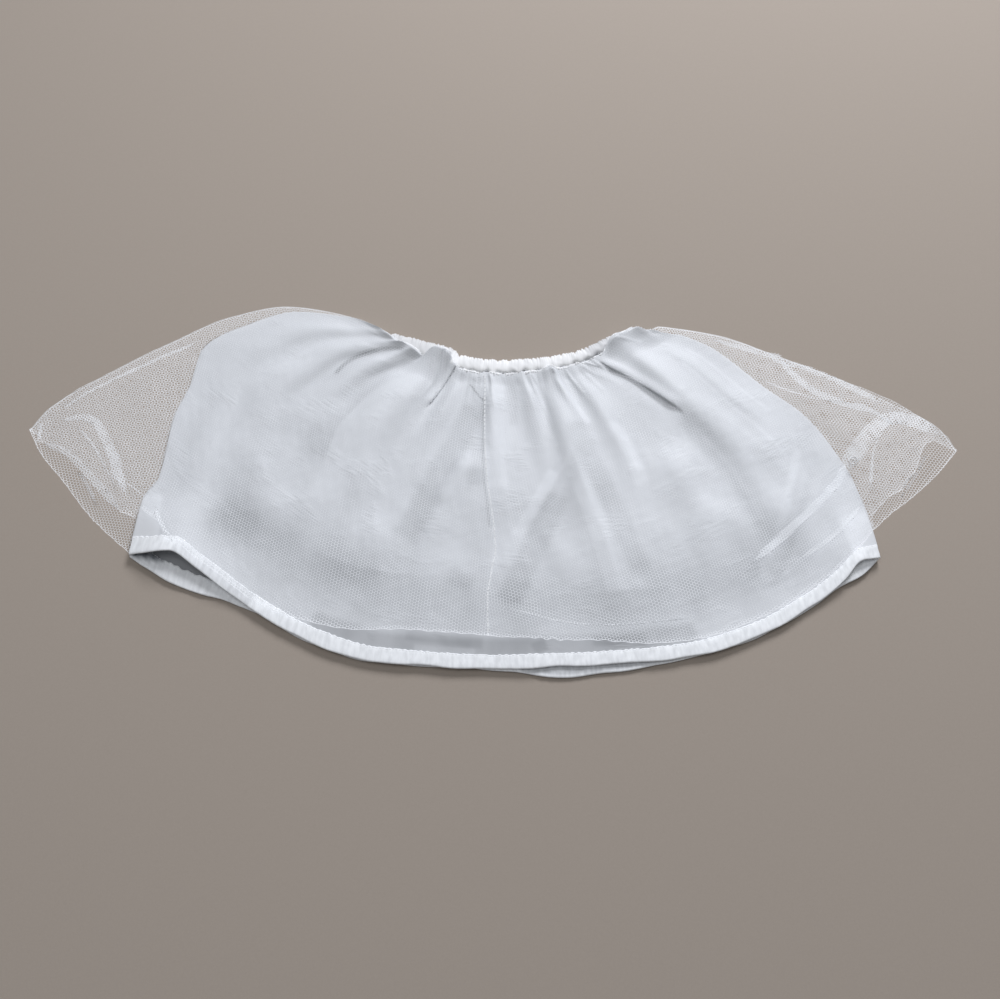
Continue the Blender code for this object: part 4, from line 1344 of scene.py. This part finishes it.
# %% Net seam
# Across the allowance: how far from the seam, and how much lower or higher than it.
ALLOWANCE_SECTION = [(1.2, -0.1), (0.84, 0.05), (0.42, 0.2), (0.0, 0.35)]
seam_line = sheets["net_front_right"][0][:, 0] + [0.0, 0.0, 0.45]
seam_points = np.stack([seam_line + [-away, 0.0, rise] for away, rise in ALLOWANCE_SECTION], axis=1)
far_from_edge = np.full(seam_points.shape[:2], 10.0)
net_seam_allowance = add_cloth(
    "net_seam_allowance", seam_points, turned(seam_points[..., :2], 0.0), NET_SEAM_CLOTH, edge=far_from_edge
)
net_seam_allowance.visible_shadow = False
net_seam_stitches = add_stitches("net_seam_stitches", seam_line + [0.0, 0.0, 0.2], 53, thick=0.12)

# %% [markdown]
# ## Casing
# The casing is a tube of satin with elastic run through it. Pulled in by the elastic, its cloth stands up
# in small rounded pleats that end in a scalloped top edge. It is made as a flat tube: lines of points that
# follow the waist line round its section, each raised or lowered by the pleats.

# %% Casing, front and back
CASING_COLUMNS = 760
# Spacing of the large and the fine pleats, how deep they are, and how far they pull the top edge down.
CASING_SPACING, FINE_SPACING = 6.0, 6.0 * 0.43
CASING_PLEAT, FINE_PLEAT = 1.0, 0.35
CASING_DROP, FINE_DROP = 1.9, 1.2
# Waves that move the pleats along the seam, change their depth, and make the top edge and the seam uneven.
PLEAT_WANDER, FINE_WANDER, PLEAT_DEPTH = Wave(2.6, 19.0, 4), Wave(1.0, 9.0, 5), Wave(0.6, 13.0, 6)
TOP_UNEVEN, SEAM_UNEVEN = Wave(0.6, 24.0, 2), Wave(1.1, 9.0, 8)
# Waves that crumple the tube and slide its cloth sideways.
CASING_CRUMPLE, CASING_SLIDE = Wave(0.30, 8.0, 7), Wave(1.6, 14.0, 3)
# The tube closes over this share at each end, down to these shares of its height and its thickness.
CASING_CLOSES, CLOSED_HEIGHT, CLOSED_THICK = 0.035, 0.35, 0.3
# How much longer the casing's cloth is than the seam it is gathered to, and how far it goes round the tube.
GATHERED, CASING_GIRTH = 2.4, 34.0
# Round the tube: how far up from the seam (0 to 1), and how high (0 bottom, 1 top).
CASING_SECTION = [
    (0.02, 0.45), (0.05, 0.72), (0.14, 0.90), (0.28, 0.98), (0.45, 1.00), (0.62, 0.98), (0.78, 0.93),
    (0.90, 0.82), (0.97, 0.66), (1.00, 0.48), (0.95, 0.22), (0.80, 0.05), (0.45, 0.0), (0.10, 0.08),
]


def casing_tube(name, floor, puff, seed, tones=()):
    """Half of the casing, which lies on floor. puff: how much of the table's puff it has."""
    across = np.linspace(0.0, 1.0, CASING_COLUMNS)
    seam = WAIST_LINE(across)
    along = walked(seam)
    direction = np.gradient(seam, axis=0)
    square = np.stack([-direction[:, 1], direction[:, 0]], axis=-1)
    lean = square / np.linalg.norm(square, axis=1)[:, None] + [0.0, 1.0]
    lean = lean / np.linalg.norm(lean, axis=1)[:, None]
    closing = between_ends(across, CASING_CLOSES)
    pleat = puckers(along + waved(PLEAT_WANDER, seed, along), CASING_SPACING, seed)
    fine = puckers(along + waved(FINE_WANDER, seed, along), FINE_SPACING, seed + 1)
    pleat = 1.0 - np.clip(0.55 + waved(PLEAT_DEPTH, seed, along), 0.1, 1.2) * (1.0 - pleat)
    height = through(CASING, "height")(across) - CASING_DROP * (1.0 - pleat) - FINE_DROP * (1.0 - fine)
    height = (height + waved(TOP_UNEVEN, seed, along)) * at_least(CLOSED_HEIGHT, closing)
    thick = (CASING_WALL + puff * through(CASING, "puff")(across)) * at_least(CLOSED_THICK, closing)
    at_seam = waved(SEAM_UNEVEN, seed, along)
    ring = []
    for up, level in CASING_SECTION:
        # The pleats are sharp at the top edge and at the seam, and nearly pressed out between them.
        pinched = at_least(0.12, abs(2 * up - 1) ** 3)
        folded_in = CASING_PLEAT * (1.0 - pleat) * pinched + FINE_PLEAT * (1.0 - fine) * pinched
        crumple = waved(CASING_CRUMPLE, seed, along + 7.0 * up, 15.0 * up)
        z = floor + thick * level - ((folded_in + crumple) * closing if level > 0.4 else 0.0)
        x_y = seam + lean * (SEAM_GAP + height * up + at_seam * (1.0 - up) ** 2)[:, None]
        x_y[:, 0] += waved(CASING_SLIDE, seed, along, 16.0 * up) * up * (1.0 - up) * 2.0
        ring.append(raised(x_y, z))
    cloth = on_cloth(along * GATHERED, np.linspace(0.0, CASING_GIRTH, len(ring)))
    return add_cloth(name, np.stack(ring)[::-1], cloth, CASING_SATIN, tones=tones, closed_rows=True)


casing_back = casing_tube("casing_back_tube", 0.2, 0.0, 71)
casing_front = casing_tube("casing_front_tube", CASING_WALL + SEAM_GAP, 1.0, 75, CASING_PAINTED_SHADE)
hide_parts("waistband_back")
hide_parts("waistband_front")
print("waist laid flat:", round(walked(WAIST_LINE(np.linspace(0.0, 1.0, CASING_COLUMNS)))[-1]), "mm")

# %% [markdown]
# ## Gathered seam
# Where the casing is sewn on, the gathered cloth is pressed into a small rough ridge just under it. It is a
# thin roll of satin along the seam, bunched more finely than the casing.

# %% Gathered ridge under the casing
RIDGE_SECTION = [(0.6, 0.2), (0.2, 0.75), (-0.4, 1.0), (-1.0, 0.9), (-1.5, 0.4), (-1.2, 0.0), (0.0, 0.0)]
RIDGE_WIDTH, RIDGE_THICK, RIDGE_SINKS, RIDGE_GIRTH = 1.7, 1.9, 0.8, 10.0
RIDGE_START, RIDGE_COLUMNS, RIDGE_SPACING = 0.06, 620, 4.2
# Waves that move its bunches along the seam, change their depth and move the ridge sideways.
BUNCH_WANDER, BUNCH_DEPTH, RIDGE_WANDER = Wave(1.8, 8.0, 0), Wave(0.7, 11.0, 3), Wave(0.8, 15.0, 2)


def gathered_ridge(seed):
    """The ridge's grid of points, and their places on its cloth."""
    across = np.linspace(RIDGE_START, 1.0 - RIDGE_START, RIDGE_COLUMNS)
    along = walked(WAIST_LINE(across))
    bunch = puckers(along + waved(BUNCH_WANDER, seed, along), RIDGE_SPACING, seed + 1)
    bunch = bunch * np.clip(0.6 + waved(BUNCH_DEPTH, seed, along), 0.1, 1.3)
    size = at_least(0.35, bunch)
    wander = waved(RIDGE_WANDER, seed, along)
    base = satin_front_points(across, np.full_like(across, 0.004))
    ring = []
    for away, level in RIDGE_SECTION:
        x_y = base[:, :2] + np.stack([0.5 * wander, 0.9 + wander + RIDGE_WIDTH * away * size], axis=-1)
        ring.append(raised(x_y, base[:, 2] - RIDGE_SINKS + RIDGE_THICK * level * size))
    return np.stack(ring), on_cloth(along * GATHERED, np.linspace(0.0, RIDGE_GIRTH, len(ring)))


casing_seam_ridge = add_cloth("casing_seam_ridge", *gathered_ridge(81), CASING_SATIN, closed_rows=True)

# %% [markdown]
# ## Loose thread
# A cut thread end has sprung into a small curl on the right wing.

# %% Thread curl
def add_thread(name, line, thick):
    """A round thread along a line of points, as a mesh."""
    path = bpy.data.curves.new(name, "CURVE")
    path.dimensions = "3D"
    path.bevel_depth = thick / 2.0 * MM
    path.bevel_resolution = 2
    path.materials.append(THREAD)
    spline = path.splines.new("POLY")
    spline.points.add(len(line) - 1)
    for point, place in zip(spline.points, (np.asarray(line) + TO_ROW) * MM):
        point.co = (*place, 1.0)
    rod = add_object(name, path)
    bpy.context.view_layer.update()
    mesh = bpy.data.meshes.new_from_object(rod.evaluated_get(bpy.context.evaluated_depsgraph_get()))
    bpy.data.objects.remove(rod)
    thread = add_object(name, mesh)
    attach(thread, "root")
    return thread


def lying_on(sheet, line, near=2.0, gap=0.4):
    """A line of places (x, y) laid on the highest part of a sheet near each of them."""
    points = sheet.reshape(-1, 3)
    heights = [points[np.linalg.norm(points[:, :2] - place, axis=1) < near, 2].max() for place in line]
    return np.column_stack([line, np.array(heights) + gap])


CURL_MIDDLE, CURL_RADIUS, CURL_TURNS, CURL_RISE, CURL_THICK = (302.0, 32.0), 3.1, 1.25, 0.1, 0.7
turn = np.linspace(0.0, CURL_TURNS * math.tau, 40)
curl = np.stack([np.cos(turn), np.sin(turn)], axis=-1) * CURL_RADIUS + CURL_MIDDLE
curl = lying_on(sheets["net_front_right"][0], curl)
curl[:, 2] += CURL_RISE * turn
net_thread_curl = add_thread("net_thread_curl", curl, CURL_THICK)
print("the curl lies", round(curl[:, 2].min(), 1), "mm above the floor")

# %% [markdown]
# ## What each piece is
# Each piece is listed under the slot of the record that it is finished from. The satin panels are rectangles
# 680 mm wide. The net was one strip, so its half at the back is 880 mm wide and each front piece about half
# of that.

# %% Slots
SLOTS = {
    "casing_satin": [casing_back, casing_front, casing_seam_ridge],
    "skirt_satin": [satin_front_panel, satin_back_panel],
    "hem_satin": [hem_front_band, hem_back_band, hem_front_stitches, hem_back_stitches],
    "net": [*net_pieces.values(), net_seam_allowance, net_seam_stitches, net_thread_curl],
}
for slot, pieces in SLOTS.items():
    for piece in pieces:
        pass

# %% [markdown]
# ## Floor, light and camera
# White cloth shows its folds only where light falls across it. One wide soft light stands beyond the waist,
# so the folds are lit from the side and the hem throws a narrow shadow towards the camera. A weaker one and
# a pale sky fill the rest. The floor is plain and pale, a little darker than the net, so the net shows.

# %% Floor
PAINT = grained_material(
    "plain_painted_floor", ("#A0958A", "#A79C91"), 900.0, 3.0, roughness=0.9, strength=0.2, depth_mm=0.2
)
FLOOR_HALF, FLOOR_BELOW = 6.0, 0.0004
floor_mesh = bpy.data.meshes.new("floor")
corners = [(x * FLOOR_HALF, y * FLOOR_HALF, -FLOOR_BELOW) for x, y in ((-1, -1), (1, -1), (1, 1), (-1, 1))]
floor_mesh.from_pydata(corners, [], [(0, 1, 2, 3)])
floor_mesh.materials.append(PAINT)
floor = add_object("floor", floor_mesh)


# %% Light
def add_area_light(name, place, size, power, colour):
    """A round soft light that looks at the skirt's middle."""
    data = bpy.data.lights.new(name, "AREA")
    data.shape = "DISK"
    data.size = size
    data.energy = power
    data.color = linear(colour)[:3]
    light = add_object(name, data)
    light.location = place
    light.rotation_euler = (-Vector(place)).to_track_quat("-Z", "Y").to_euler()


add_area_light("window_light", (0.7, 2.0, 1.6), size=1.1, power=62.0, colour="#F7F9FF")
add_area_light("ceiling_light", (-0.5, -0.2, 2.4), size=1.6, power=14.0, colour="#FBFCFF")
SKY_COLOUR, SKY_STRENGTH = "#EEF1F6", 0.22
world = bpy.data.worlds.new("pale_room")
world.use_nodes = True
sky = world.node_tree.nodes["Background"]
sky.inputs[0].default_value = linear(SKY_COLOUR)
sky.inputs[1].default_value = SKY_STRENGTH
bpy.context.scene.world = world
bpy.context.scene.view_settings.view_transform = "Standard"

# %% Camera
CAMERA_ELEVATION, CAMERA_DISTANCE = math.radians(62.0), 0.911
SENSOR_WIDTH, LENS = 36.0, 38.6
AIM = Vector((TO_ROW[0] * MM, TO_ROW[1] * MM, 0.0))
TOWARDS_CAMERA = Vector((0.0, -math.cos(CAMERA_ELEVATION), math.sin(CAMERA_ELEVATION)))
camera_data = bpy.data.cameras.new("camera")
camera_data.sensor_width = SENSOR_WIDTH
camera_data.lens = LENS
camera = add_object("camera", camera_data)
camera.location = AIM + CAMERA_DISTANCE * TOWARDS_CAMERA
camera.rotation_euler = (math.pi / 2.0 - CAMERA_ELEVATION, 0.0, 0.0)
bpy.context.scene.camera = camera
